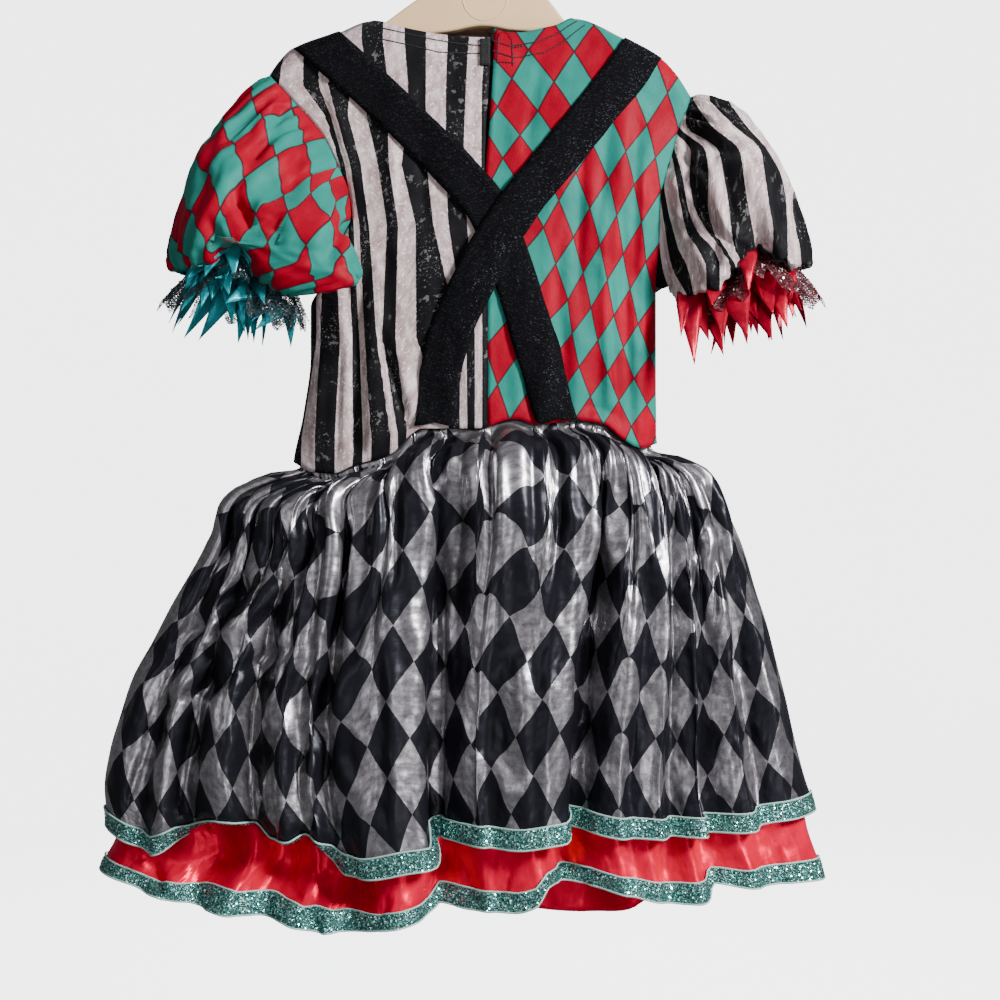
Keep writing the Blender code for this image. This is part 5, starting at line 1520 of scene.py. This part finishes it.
RIB_PITCH = 1.3            # between the ribs across elastic and ribbon


def glitter_finish(name, base, flake_dark, flake_bright, size, share, tilt, metal):
    """Cloth with glued flakes that each shine their own way."""
    material, w, shader = new_material(name)
    place = w.cloth()
    flakes = w.group(glitter(), Vector=place, Size=size, Share=share, Tilt=tilt)
    shade = w.blend(flakes["Shade"], flake_dark, flake_bright)
    ground = w.tinted(place, base, times(base, 0.6), 40.0, 0.8)
    shader["Specular IOR Level"].default_value = 0.06
    rib = w.math("SINE", w.math("MULTIPLY", w.axes(place)[1], 6283 / RIB_PITCH))
    w.coat(
        shader, w.blend(flakes["Flake"], ground, shade),
        w.remap(flakes["Flake"], 0.0, 1.0, 0.75, 0.30),
        w.bumped((rib, 0.00012), normal=flakes["Normal"]),
        w.math("MULTIPLY", flakes["Flake"], metal))
    return material


@functools.cache
def glitter_elastic():
    return glitter_finish(
        "glitter_elastic", tuple(bpy.context.scene.costume_colours.strap),
        (0.008, 0.008, 0.012), (0.024, 0.025, 0.031), 0.0007, 0.16, 0.6, 0.4)


@functools.cache
def glitter_tape():
    return glitter_finish(
        "glitter_ribbon", tuple(bpy.context.scene.costume_colours.trim),
        (0.02, 0.12, 0.115), (0.20, 0.46, 0.43), 0.0011, 0.75, 1.2, 0.75)


@functools.cache
def glitter_flake(name):
    """Loose-looking single flakes, bright on one tilt and dark on the next."""
    shades = {
        "trim": ((0.04, 0.24, 0.22), (0.50, 0.85, 0.80)),
        "net": ((0.03, 0.04, 0.045), (0.4, 0.42, 0.44)),
        "red_net": ((0.10, 0.004, 0.01), (0.5, 0.25, 0.27)),
    }
    material, w, shader = new_material(name + "_flakes")
    place = w.object()
    speck = w.noise(place, 700.0, 1.0)
    w.join(w.blend(w.remap(speck, 0.4, 0.6), *shades[name]), shader["Base Color"])
    w.join(w.remap(speck, 0.3, 0.7, 0.18, 0.34), shader["Roughness"])
    w.join(0.85, shader["Metallic"])
    return material


@functools.cache
def glitter_net(name, shade, sparkle):
    """Net whose threads are opaque and whose holes are clear."""
    material, w, shader = new_material(name)
    place = w.cloth()
    lattice = w.group(diamond_lattice(), Vector=place, Width=0.0018, Height=0.0022, Line=0.46)
    flakes = w.group(glitter(), Vector=place, Size=0.0012, Share=0.30, Tilt=1.2)
    opaque = w.math("MAXIMUM", lattice["Line"], w.math("MULTIPLY", flakes["Flake"], 0.9))
    w.join(opaque, shader["Alpha"])
    w.coat(
        shader, w.blend(flakes["Flake"], shade, sparkle),
        w.remap(flakes["Flake"], 0.0, 1.0, 0.6, 0.3), flakes["Normal"])
    return material


@functools.cache
def hook_tape():
    """Hook-and-loop tape: matt black with a fuzzy dotted face."""
    material, w, shader = new_material("hook_loop_tape")
    place = w.object()
    dots = w.add("TexVoronoi", {"Vector": place, "Scale": 900.0}).outputs["Distance"]
    shade = w.blend(w.remap(dots, 0.1, 0.6), srgb(20, 20, 22), srgb(8, 8, 10))
    w.coat(shader, shade, w.remap(dots, 0.1, 0.6, 0.7, 0.9), w.bumped((dots, -0.0004)))
    return material


@functools.cache
def sewing_thread(name, red, green, blue):
    """Twisted thread or fine cord of one colour."""
    material, w, shader = new_material(name)
    place = w.object()
    twist = w.noise(place, 2600.0, 1.0)
    colour = srgb(red, green, blue)
    shade = w.blend(w.remap(twist, 0.35, 0.65), colour, times(colour, 0.55))
    w.coat(shader, shade, w.remap(twist, 0.3, 0.7, 0.5, 0.7), w.bumped((twist, 0.00015)))
    return material


@functools.cache
def hanger_plastic():
    """Moulded plastic, faintly mottled, with fine texture and rubbed places."""
    material, w, shader = new_material("hanger_plastic_beige")
    place = w.object()
    colour = tuple(bpy.context.scene.costume_colours.hanger)
    shade = w.tinted(place, colour, times(colour, 0.86), 14.0, 0.8)
    rubbed = w.noise(place, 60.0, 4.0, 0.7)
    fine = w.noise(place, 900.0, 2.0)
    w.coat(
        shader, shade, w.remap(rubbed, 0.35, 0.65, 0.42, 0.56),
        w.bumped((fine, 0.00006), (rubbed, 0.00008)))
    shader["Subsurface Weight"].default_value = 0.04
    shader["Subsurface Radius"].default_value = (0.004, 0.003, 0.002)
    return material


@functools.cache
def hook_steel():
    """Drawn wire: fine lines along it and faint rubbed patches."""
    material, w, shader = new_material("hook_steel_wire")
    place = w.object()
    lines = w.noise(w.stretched(place, 300.0, 4000.0, 300.0), 1.0, 2.0)
    rubbed = w.group(uneven_tone(), Vector=place, Scale=70.0)["Tone"]
    shade = w.blend(rubbed, srgb(196, 197, 200), srgb(150, 150, 152))
    w.coat(shader, shade, w.remap(rubbed, 0.0, 1.0, 0.22, 0.42), w.bumped((lines, 0.00003)), 1.0)
    return material


@functools.cache
def studio_paper():
    """Pale floor, bright to the camera alone so that it throws little light on the dress."""
    material, w, shader = new_material("studio_paper")
    place = w.object()
    colour = tuple(bpy.context.scene.costume_colours.floor)
    shade = w.tinted(place, colour, times(colour, 0.97), 1.5, 0.5)
    w.join(shade, shader["Emission Color"])
    to_camera = w.add("LightPath").outputs["Is Camera Ray"]
    w.join(w.remap(to_camera, 0.0, 1.0, 0.07, 4.2), shader["Emission Strength"])
    w.coat(
        shader, w.blend(to_camera, times(colour, 0.22), shade),
        w.remap(w.noise(place, 90.0), 0.3, 0.7, 0.75, 0.85),
        w.bumped((w.noise(place, 140.0, 3.0), 0.0004)))
    return material


# ---- Geometry Nodes: what repeats along paths and over cloth ----
class Growing:
    """Builds one Geometry Nodes tree in few words."""

    def __init__(self, name, inputs):
        self.tree = bpy.data.node_groups.new(name, "GeometryNodeTree")
        new_sockets(self.tree, "INPUT", {"Geometry": "Geometry", **inputs, "Material": "Material"})
        new_sockets(self.tree, "OUTPUT", {"Geometry": "Geometry"})
        self.given = self.tree.nodes.new("NodeGroupInput").outputs
        self.result = self.tree.nodes.new("NodeGroupOutput").inputs["Geometry"]

    def add(self, kind, inputs=(), **settings):
        node = self.tree.nodes.new(kind)
        for name, value in settings.items():
            setattr(node, name, value)
        for key, value in dict(inputs).items():
            if isinstance(value, bpy.types.NodeSocket):
                self.tree.links.new(value, node.inputs[key])
            else:
                node.inputs[key].default_value = value
        return node.outputs

    def maths(self, kind, inputs, **settings):
        return self.add("ShaderNode" + kind, inputs, **settings)[0]

    def finish(self, geometry):
        """Ends the tree as plain smooth mesh with the given material."""
        real = self.add("GeometryNodeRealizeInstances", {"Geometry": geometry})[0]
        smooth = self.add("GeometryNodeSetShadeSmooth", {"Geometry": real})[0]
        done = self.add(
            "GeometryNodeSetMaterial", {"Geometry": smooth, "Material": self.given["Material"]})[0]
        self.tree.links.new(done, self.result)
        return self.tree


@functools.cache
def stitch_tree():
    """Short raised stitches at even steps along the edges of a mesh."""
    g = Growing("Stitches", {"Step": "Float", "Length": "Float", "Radius": "Float"})
    line = g.add("GeometryNodeMeshToCurve", {0: g.given["Geometry"]})[0]
    places = g.add("GeometryNodeCurveToPoints", {0: line, "Length": g.given["Step"]}, mode="LENGTH")
    turn = g.add("FunctionNodeAlignRotationToVector", {"Vector": places["Tangent"]}, axis="X")[0]
    radius = g.given["Radius"]
    size = g.maths("CombineXYZ", {"X": g.given["Length"], "Y": radius, "Z": radius})
    stitch = g.add("GeometryNodeMeshIcoSphere", {"Radius": 1.0, "Subdivisions": 1})[0]
    many = g.add("GeometryNodeInstanceOnPoints", {
        "Points": places["Points"], "Instance": stitch, "Rotation": turn, "Scale": size})[0]
    return g.finish(many)


@functools.cache
def cord_tree():
    """A round cord along the edges of a mesh."""
    g = Growing("Cord", {"Radius": "Float"})
    line = g.add("GeometryNodeMeshToCurve", {0: g.given["Geometry"]})[0]
    ring = g.add("GeometryNodeCurvePrimitiveCircle", {"Resolution": 6})[0]
    size = g.maths("CombineXYZ", dict.fromkeys("XYZ", g.given["Radius"]))
    scaled = g.add("GeometryNodeTransform", {"Geometry": ring, "Scale": size})[0]
    tube = g.add("GeometryNodeCurveToMesh", {
        "Curve": line, "Profile Curve": scaled, "Fill Caps": True})[0]
    return g.finish(tube)


@functools.cache
def flake_tree():
    """Six-sided flakes scattered over cloth, each tilted its own way."""
    g = Growing("Flakes", {"Density": "Float", "Radius": "Float", "Tilt": "Float", "Seed": "Int"})
    places = g.add("GeometryNodeDistributePointsOnFaces", {
        "Mesh": g.given["Geometry"], "Density": g.given["Density"], "Seed": g.given["Seed"]})
    out = g.maths("VectorMath", {0: places["Normal"], 3: 0.0004}, operation="SCALE")
    lifted = g.add("GeometryNodeSetPosition", {"Geometry": places["Points"], "Offset": out})[0]
    low, high = (
        g.maths("VectorMath", {0: turns, 3: g.given["Tilt"]}, operation="SCALE")
        for turns in ((-1.0, -1.0, -3.1), (1.0, 1.0, 3.1)))
    lean = g.add("FunctionNodeRandomValue", {
        "Min": low, "Max": high, "Seed": g.given["Seed"]}, data_type="FLOAT_VECTOR")[0]
    turn = g.add("FunctionNodeRotateRotation", {
        "Rotation": places["Rotation"], "Rotate By": lean}, rotation_space="LOCAL")[0]
    size = g.add("FunctionNodeRandomValue", {2: 0.6, 3: 1.25, "Seed": g.given["Seed"]})[1]
    flake = g.add("GeometryNodeMeshCircle", {
        "Vertices": 6, "Radius": g.given["Radius"]}, fill_type="NGON")[0]
    many = g.add("GeometryNodeInstanceOnPoints", {
        "Points": lifted, "Instance": flake, "Rotation": turn, "Scale": size})[0]
    return g.finish(many)


def grown(name, mesh, tree, values, slot):
    """Runs a tree on a mesh once and keeps the outcome as a plain piece."""
    piece = new_object(name, mesh)
    modifier = piece.modifiers.new("Grow", "NODES")
    modifier.node_group = tree
    for item in tree.interface.items_tree:
        if item.item_type == "SOCKET" and item.in_out == "INPUT" and item.name in values:
            modifier[item.identifier] = values[item.name]
    graph = bpy.context.evaluated_depsgraph_get()
    plain = bpy.data.meshes.new_from_object(piece.evaluated_get(graph))
    piece.modifiers.remove(modifier)
    piece.data = plain
    if not plain.polygons:
        raise RuntimeError(name + " came out empty")
    return ride(piece, None, slot)


def path_mesh(name, paths):
    """A mesh of edges along each path; a path is a list of points in millimetres."""
    points, edges = [], []
    for path in paths:
        edges += [(len(points) + k, len(points) + k + 1) for k in range(len(path) - 1)]
        points += in_metres([path])
    return new_mesh(name, points, (), edges)


STITCH_STEP, STITCH_LENGTH, STITCH_RADIUS = 2.1, 1.8, 0.5


def stitches(name, rows, thread, slot):
    """Rows of stitches over the bodice's back."""
    paths = [line_on_back(row, 2.0, 0.15) for row in rows]
    return grown(name, path_mesh(name, paths), stitch_tree(), {
        "Step": STITCH_STEP * MM, "Length": STITCH_LENGTH * MM, "Radius": STITCH_RADIUS * MM,
        "Material": thread}, slot)


def cord(name, paths, radius, material, slot):
    """Round cords along paths."""
    return grown(name, path_mesh(name, paths), cord_tree(), {
        "Radius": radius * MM, "Material": material}, slot)


def flakes(name, cloth, per_square_metre, radius, tilt, seed, material, slot):
    """Flakes scattered over the outer face of a cloth."""
    faces = []
    for i, j, face in cloth.quads():
        low, after, high, before = (cloth.grid[n // cloth.columns][n % cloth.columns] for n in face)
        facing = (high - low).cross(before - after)
        faces.append(face if facing.dot(cloth.normals[i][j]) > 0 else face[::-1])
    mesh = new_mesh(name, in_metres(cloth.grid), faces)
    return grown(name, mesh, flake_tree(), {
        "Density": float(per_square_metre), "Radius": radius * MM, "Tilt": tilt, "Seed": seed,
        "Material": material}, slot)


# ---- sewing lines ----
@functools.cache
def bodice_finders():
    return {
        front: [bodice_cloth(left, front).finder() for left in (True, False)]
        for front in (False, True)
    }


def find_on_bodice(x, z, front):
    """The outermost point of the bodice at x and z, and its outward normal."""
    finders = bodice_finders()[front]
    side = 1 if front else -1
    start, way = Vector((x, side * 300.0, z)), Vector((0, -side, 0))
    best, best_normal = None, None
    for tree in finders:
        hit, normal, _, _ = tree.ray_cast(start, way)
        if hit is not None and (best is None or (hit.y - best.y) * side > 0):
            best, best_normal = hit, normal
    if best is None:
        nearest = [tree.find_nearest(Vector((x, side * 12.0, z))) for tree in finders]
        best, best_normal = min(nearest, key=lambda found: found[3])[:2]
    if best_normal.y * side < 0:
        best_normal = -best_normal
    return best.copy(), best_normal.copy()


def line_on_back(rows, step, lift):
    """A fine path over the bodice's back through points as the viewer sees them."""
    path = []
    for (x0, z0), (x1, z1) in zip(rows, rows[1:]):
        count = max(1, round(math.hypot(x1 - x0, z1 - z0) / step))
        for k in range(count + (x1 == rows[-1][0] and z1 == rows[-1][1])):
            place = seen(mix(x0, x1, k / count), mix(z0, z1, k / count), NECK_Y)
            hit, normal = find_on_bodice(place.x, place.z, False)
            path.append(hit + normal * lift)
    return path


NECK_Y = -13.0             # depth of the bodice's back near the neck
# two rows of stitches along the neck, the box sewn beside the opening, and the loop over it
NECK_ROWS = (
    ((-74, -103), (-56, -107), (-34, -112), (-15, -115), (5.6, -117)),
    ((-74, -111.5), (-54, -116), (-32, -121.5), (-15, -122.2), (1, -122.5)),
    ((9.4, -113), (23, -117), (43, -114), (59, -107), (72, -97.5)),
    ((10, -120.8), (25.5, -126), (48, -122), (64.5, -112.5), (78, -100.5)),
)
STITCHED_BOX = (
    ((13.5, -110), (13, -129)), ((24, -113), (24.5, -131)), ((13, -129), (24.5, -130)),
    ((24.5, -118), (31, -117)),
)
NECK_LOOP = ((14.5, -110), (16, -106.5), (19.5, -105), (23, -107), (24, -111))


# ---- panels of properties ----
def length_property(name, description, default):
    return bpy.props.FloatProperty(
        name=name, description=description, default=default, min=0.0, unit="LENGTH", precision=4)


def colour_property(name, description, default):
    return bpy.props.FloatVectorProperty(
        name=name, description=description, default=default, size=3, min=0.0, max=1.0,
        subtype="COLOR")


class CostumeSizes(bpy.types.PropertyGroup):
    """Sizes of the prints and of the cloth."""

    stripe_width: length_property("Stripe Width", "Width of one printed stripe", 0.016)
    diamond_width: length_property("Diamond Width", "Width of a diamond on the jersey", 0.030)
    diamond_height: length_property("Diamond Height", "Height of a diamond on the jersey", 0.046)
    satin_width: length_property("Satin Diamond Width", "Width of a diamond on the skirt", 0.031)
    satin_height: length_property("Satin Diamond Height", "Height of a diamond on the skirt", 0.054)
    jersey: length_property("Jersey Thickness", "Thickness of the bodice and the sleeves", 0.0010)
    satin: length_property("Satin Thickness", "Thickness of both skirts", 0.0008)
    elastic: length_property("Elastic Thickness", "Thickness of the straps", 0.0013)
    tape: length_property("Ribbon Thickness", "Thickness of the glitter ribbon", 0.0008)
    cord_radius: length_property("Cord Radius", "Radius of the cord along the ribbon's edges", 0.00075)


class CostumeColours(bpy.types.PropertyGroup):
    """Colours of the cloth, the hanger and the floor."""

    cream: colour_property("Cream", "Light stripes", (0.72, 0.60, 0.60))
    black: colour_property("Black", "Dark stripes", (0.004, 0.0038, 0.0048))
    red: colour_property("Red", "Red diamonds of the jersey", (0.37, 0.0, 0.018))
    teal: colour_property("Teal", "Teal diamonds of the jersey", (0.022, 0.235, 0.19))
    satin_grey: colour_property("Charcoal", "Grey diamonds of the skirt", (0.19, 0.178, 0.195))
    satin_black: colour_property("Skirt Black", "Black diamonds of the skirt", (0.011, 0.011, 0.016))
    satin_red: colour_property("Underskirt Red", "Underskirt", (0.86, 0.002, 0.048))
    petal_teal: colour_property("Teal Petals", "Petals of the left cuff", (0.02, 0.34, 0.40))
    petal_red: colour_property("Red Petals", "Petals of the right cuff", (0.48, 0.003, 0.028))
    strap: colour_property("Straps", "Elastic of the straps", (0.0035, 0.0035, 0.0048))
    trim: colour_property("Ribbon", "Glitter ribbon", (0.03, 0.13, 0.12))
    hanger: colour_property("Hanger", "Moulded hanger", (0.81, 0.54, 0.30))
    floor: colour_property("Floor", "Floor and backdrop", (0.86, 0.87, 0.89))


# ---- operators ----
def in_millimetres(metres):
    return metres / MM


class COSTUME_OT_bodice(bpy.types.Operator):
    """Make the four jersey panels of the bodice."""

    bl_idname = "costume.bodice"
    bl_label = "Bodice"

    def execute(self, context):
        thickness = in_millimetres(context.scene.costume_sizes.jersey)
        for front, place in ((False, "bodice_back_"), (True, "bodice_front_")):
            for left, side in SIDES:
                finishes = [stripe_jersey() if left else diamond_jersey(), jersey_reverse()]
                piece = bodice_cloth(left, front).object(
                    "cloth_" + place + side, thickness, finishes, place + side)
        return {"FINISHED"}


class COSTUME_OT_sleeves(bpy.types.Operator):
    """Make the two gathered puff sleeves."""

    bl_idname = "costume.sleeves"
    bl_label = "Puff Sleeves"

    def execute(self, context):
        thickness = in_millimetres(context.scene.costume_sizes.jersey)
        for left, side in SIDES:
            finishes = [diamond_jersey() if left else stripe_jersey(), jersey_reverse()]
            piece = sleeve_cloth(left).object(
                "cloth_sleeve_" + side, thickness, finishes, "sleeve_" + side)
        return {"FINISHED"}


class COSTUME_OT_cuffs(bpy.types.Operator):
    """Make the satin petals, the glitter net and the drawn elastic of each cuff."""

    bl_idname = "costume.cuffs"
    bl_label = "Cuffs"

    def execute(self, context):
        for left, side in SIDES:
            sleeve = sleeve_cloth(left)
            edge = sleeve.grid[-1]
            petals = joined_strips(
                "cuff_petals_" + side, cuff_petals(left, edge), PETAL_THICKNESS,
                petal_satin("petal_teal" if left else "petal_red"), "cuff_points_" + side)
            net = net_cloth(left, edge)
            net.measure(row_for_u=4)
            shade = (0.004, 0.010, 0.012) if left else (0.035, 0.001, 0.004)
            sparkle = (0.02, 0.05, 0.06) if left else (0.11, 0.012, 0.02)
            finish = glitter_net("net_" + side, shade, sparkle)
            piece = net.object("net_frill_" + side, 0.0, [finish], "cuff_net_" + side)
            flakes("net_flakes_" + side, net, 60000, 0.75, 0.9, 3 + left,
                   glitter_flake("net" if left else "red_net"), "glitter_net")
            ring = moved_out(sleeve.grid[-2], sleeve.normals[-2], -0.2)
            cord("cuff_elastic_" + side, [ring + [ring[0]]], CUFF_ELASTIC_RADIUS,
                 sewing_thread("elastic_" + side, 26, 26, 30), slot_of("cuff_net_" + side))
        return {"FINISHED"}


class COSTUME_OT_skirts(bpy.types.Operator):
    """Make the printed satin skirt and the red underskirt."""

    bl_idname = "costume.skirts"
    bl_label = "Skirts"

    def execute(self, context):
        thickness = in_millimetres(context.scene.costume_sizes.satin)
        for outer, front, place, width, length in (
            (True, False, "back", 0.70, 0.33), (True, True, "front", 0.60, 0.30),
            (False, False, "back", 0.64, 0.35), (False, True, "front", 0.58, 0.36),
        ):
            node = ("skirt_outer_" if outer else "underskirt_") + place
            finish = satin_harlequin() if outer else red_satin()
            piece = skirt_cloth(outer, front).object("cloth_" + node, thickness, [finish], node)
        return {"FINISHED"}


class COSTUME_OT_trims(bpy.types.Operator):
    """Make the glitter ribbons with their corded edges and flakes."""

    bl_idname = "costume.trims"
    bl_label = "Glitter Ribbons"

    def execute(self, context):
        sizes = context.scene.costume_sizes
        pale = sewing_thread("ribbon_cord", 176, 214, 206)
        for outer, front, place, skirt, length in (
            (True, False, "outer_back", "skirt_outer_back", 0.68),
            (True, True, "outer_front", "skirt_outer_front", 0.56),
            (False, False, "under_back", "underskirt_back", 0.62),
            (False, True, "under_front", "underskirt_front", 0.60),
        ):
            base = skirt_cloth(outer, front)
            first = next(i for i, down in enumerate(base.downs) if down >= RIBBON_START[outer])
            tape = ribbon_cloth(base, first)
            piece = tape.object(
                "ribbon_" + place, in_millimetres(sizes.tape), [glitter_tape()], "trim_" + place)
            edges = [moved_out(tape.grid[row], tape.normals[row], 0.2) for row in (0, -1)]
            cord("ribbon_cords_" + place, edges, in_millimetres(sizes.cord_radius), pale,
                 "glitter_ribbon")
            flakes("ribbon_flakes_" + place, tape, 400000 if front else 700000, 0.62, 0.55,
                   11 + 2 * outer + front, glitter_flake("trim"), "glitter_ribbon")
        return {"FINISHED"}


class COSTUME_OT_straps(bpy.types.Operator):
    """Make the two crossed elastic straps."""

    bl_idname = "costume.straps"
    bl_label = "Straps"

    def execute(self, context):
        thickness = in_millimetres(context.scene.costume_sizes.elastic)
        for left, side in SIDES:
            piece = strap_cloth(left).object(
                "elastic_strap_" + side, thickness, [glitter_elastic()], "strap_" + side)
        return {"FINISHED"}


TAB_TOP, TAB_BOTTOM, TAB_THICKNESS = -114.5, -135.0, 1.2
TAB_X = 1.5                # past here a tab bridges the opening at one depth


def tab_cloth(low_x, high_x, lift):
    """A small flat tab over the back opening, so far out from the bodice."""
    grid = []
    for down in spread(8):
        z = mix(TAB_TOP, TAB_BOTTOM, down)
        line = []
        for across in spread(5):
            x = mix(low_x, high_x, across)
            hit, _ = find_on_bodice(min(x, TAB_X), z, False)
            line.append(Vector((x, hit.y - lift - TAB_THICKNESS, z)))
        grid.append(line)
    cloth = Cloth(grid, centre=(CENTRE_X, 0.0))
    cloth.measure()
    return cloth


class COSTUME_OT_closure(bpy.types.Operator):
    """Make the hook-and-loop tabs at the top of the back opening."""

    bl_idname = "costume.closure"
    bl_label = "Closure"

    def execute(self, context):
        for node, low_x, high_x, lift in (
            ("closure_hook_tab", 0.2, 7.6, 0.6), ("closure_loop_tab", -1.0, 12.0, -3.2),
        ):
            cloth = tab_cloth(low_x, high_x, lift)
            piece = cloth.object(node + "_tape", TAB_THICKNESS, [hook_tape()], node)
        return {"FINISHED"}


def rounded_layers(half_depth, edge, steps):
    """y and inward shrink of each layer of a plate with rounded edges, near face first."""
    layers = []
    for share in reversed(spread(steps)):
        angle = math.pi / 2 * share
        layers.append((-half_depth + edge * (1 - math.sin(angle)), edge * (1 - math.cos(angle))))
    return layers + [(-y, shrink) for y, shrink in reversed(layers)]


def hanger_moulding():
    """The hanger's plate: its outline in layers, closed by strips between top and bottom."""
    xs = [mix(HANGER_BODY[0][0], HANGER_BODY[-1][0], share) for share in spread(150)]
    outline = [Vector((x, 0, through(HANGER_BODY, x, 2))) for x in xs]
    outline += [Vector((x, 0, through(HANGER_BODY, x, 1))) for x in reversed(xs)]
    count = len(outline)
    layers = rounded_layers(HANGER_HALF_DEPTH, HANGER_EDGE, 6)
    points = []
    for y, shrink in layers:
        for k, place in enumerate(outline):
            along = (outline[(k + 1) % count] - outline[k - 1]).normalized()
            inward = Vector((-along.z, 0, along.x))
            points.append(place + inward * shrink + Vector((0, y, 0)))
    faces = [(after, low, high, beyond) for _, _, (low, after, beyond, high) in quads(
        len(layers), count, True)]
    last = (len(layers) - 1) * count
    for k in range(count // 2 - 1):
        mirror = count - 1 - k
        faces.append((k, k + 1, mirror - 1, mirror))
        faces.append((last + mirror, last + mirror - 1, last + k + 1, last + k))
    return new_mesh("hanger_moulding", in_metres([points]), faces)


class COSTUME_OT_hanger(bpy.types.Operator):
    """Make the smooth moulded hanger and finish its wire hook."""

    bl_idname = "costume.hanger"
    bl_label = "Hanger"

    def execute(self, context):
        ride(finished(hanger_moulding(), [hanger_plastic()]), "hanger_body")
        rim_y = -HANGER_HALF_DEPTH + 0.1
        circle = [
            Vector((DISC_X + DISC_RADIUS * math.cos(a), rim_y, DISC_Z + DISC_RADIUS * math.sin(a)))
            for a in [2 * math.pi * k / 72 for k in range(73)]]
        cord("hanger_disc_rim", [circle], 0.55, hanger_plastic(), "hanger_plastic")
        hook = frame["nodes"]["hanger_hook"]
        for place in hook.material_slots:
            place.material = hook_steel()
        return {"FINISHED"}


class COSTUME_OT_sewing(bpy.types.Operator):
    """Sew the neck's two rows, the box beside the opening and its thread loop."""

    bl_idname = "costume.sewing"
    bl_label = "Sewing"

    def execute(self, context):
        black = sewing_thread("black_thread", 20, 16, 20)
        stitches("neck_stitches", NECK_ROWS, black, "diamond_jersey")
        stitches("opening_stitches", STITCHED_BOX, black, "diamond_jersey")
        loop = [seen(x, z, NECK_Y) for x, z in NECK_LOOP]
        cord("neck_thread_loop", [loop], 0.25, black, "diamond_jersey")
        return {"FINISHED"}


# metres and watts: the floor's round sheet and its wall, and each light's place, size and power
FLOOR_RADIUS, FLOOR_Z, WALL_TOP = 3.2, -1.15, 4.2
FLOOR_STEPS, BEND_STEPS = 96, 26
LIT_POINT = Vector((0.0, 0.0, -0.46))
LIGHTS = (
    ("key", (1.40, -1.20, 0.42), 0.45, 92.0), ("fill", (-1.2, -1.8, 0.1), 0.9, 6.0),
    ("back", (0.3, 2.0, 0.4), 1.8, 30.0), ("top", (-0.2, -0.3, 1.3), 0.9, 4.0),
    ("low", (0.7, -1.5, -1.05), 0.7, 8.0),
)


def studio_floor():
    """A round floor that bends up into a backdrop all round."""
    profile = [(0.02 + FLOOR_RADIUS * 0.75 * k / 8, 0.0) for k in range(9)]
    for k in range(1, BEND_STEPS):
        angle = math.pi / 2 * k / BEND_STEPS
        reach = FLOOR_RADIUS * (0.77 + 0.23 * math.sin(angle))
        profile.append((reach, FLOOR_RADIUS * 0.23 * (1 - math.cos(angle))))
    profile.append((FLOOR_RADIUS, WALL_TOP))
    points = []
    for reach, height in profile:
        for k in range(FLOOR_STEPS):
            a = 2 * math.pi * k / FLOOR_STEPS
            points.append((reach * math.cos(a), reach * math.sin(a), FLOOR_Z + height))
    faces = [face for _, _, face in quads(len(profile), FLOOR_STEPS, True)]
    faces.append(tuple(range(FLOOR_STEPS)))
    return new_mesh("studio_floor", points, faces)


def studio_light(name, place, size, power):
    """A square soft light that faces the dress and doesn't show itself."""
    data = bpy.data.lights.new(name, "AREA")
    data.shape, data.size, data.energy = "SQUARE", size, power
    light = new_object(name, data)
    light.location = place
    light.rotation_euler = (LIT_POINT - Vector(place)).to_track_quat("-Z", "Y").to_euler()
    light.visible_camera = False


def studio_world():
    world = bpy.data.worlds.new("studio_world")
    world.use_nodes = True
    background = world.node_tree.nodes["Background"]
    background.inputs["Color"].default_value = (0.95, 0.97, 1.0, 1.0)
    background.inputs["Strength"].default_value = 0.07
    return world


def viewer():
    """The camera, level and straight in front of the dress."""
    data = bpy.data.cameras.new("viewer")
    data.sensor_width = 36.0
    data.lens = 64.8
    camera = new_object("viewer", data)
    camera.location = (VIEW_X * MM, -VIEWER * MM, VIEW_Z * MM)
    camera.rotation_euler = (math.pi / 2, 0.0, 0.0)
    return camera


class COSTUME_OT_stage(bpy.types.Operator):
    """Set the pale floor and backdrop, the soft lights and the camera."""

    bl_idname = "costume.stage"
    bl_label = "Studio Stage"

    def execute(self, context):
        finished(studio_floor(), [studio_paper()])
        for light in LIGHTS:
            studio_light(*light)
        context.scene.world = studio_world()
        context.scene.camera = viewer()
        return {"FINISHED"}


STEPS = (
    COSTUME_OT_bodice, COSTUME_OT_sleeves, COSTUME_OT_cuffs, COSTUME_OT_skirts, COSTUME_OT_trims,
    COSTUME_OT_straps, COSTUME_OT_closure, COSTUME_OT_hanger, COSTUME_OT_sewing, COSTUME_OT_stage,
)


class COSTUME_PT_panel(bpy.types.Panel):
    """Lists the sizes, the colours and the steps."""

    bl_idname = "COSTUME_PT_panel"
    bl_label = "Clown Costume Dress"
    bl_space_type = "VIEW_3D"
    bl_region_type = "UI"
    bl_category = "Costume"

    def draw(self, context):
        layout = self.layout
        for group in (context.scene.costume_sizes, context.scene.costume_colours):
            box = layout.box()
            for name in group.__annotations__:
                box.prop(group, name)
        for step in STEPS:
            layout.operator(step.bl_idname)


def register():
    for item in (CostumeSizes, CostumeColours, *STEPS, COSTUME_PT_panel):
        bpy.utils.register_class(item)
    bpy.types.Scene.costume_sizes = bpy.props.PointerProperty(type=CostumeSizes)
    bpy.types.Scene.costume_colours = bpy.props.PointerProperty(type=CostumeColours)


def unregister():
    del bpy.types.Scene.costume_colours
    del bpy.types.Scene.costume_sizes
    for item in (COSTUME_PT_panel, *reversed(STEPS), CostumeColours, CostumeSizes):
        bpy.utils.unregister_class(item)


def main():
    register()
    for step in STEPS:
        category, name = step.bl_idname.split(".")
        getattr(getattr(bpy.ops, category), name)()


if __name__ == "__main__":
    main()
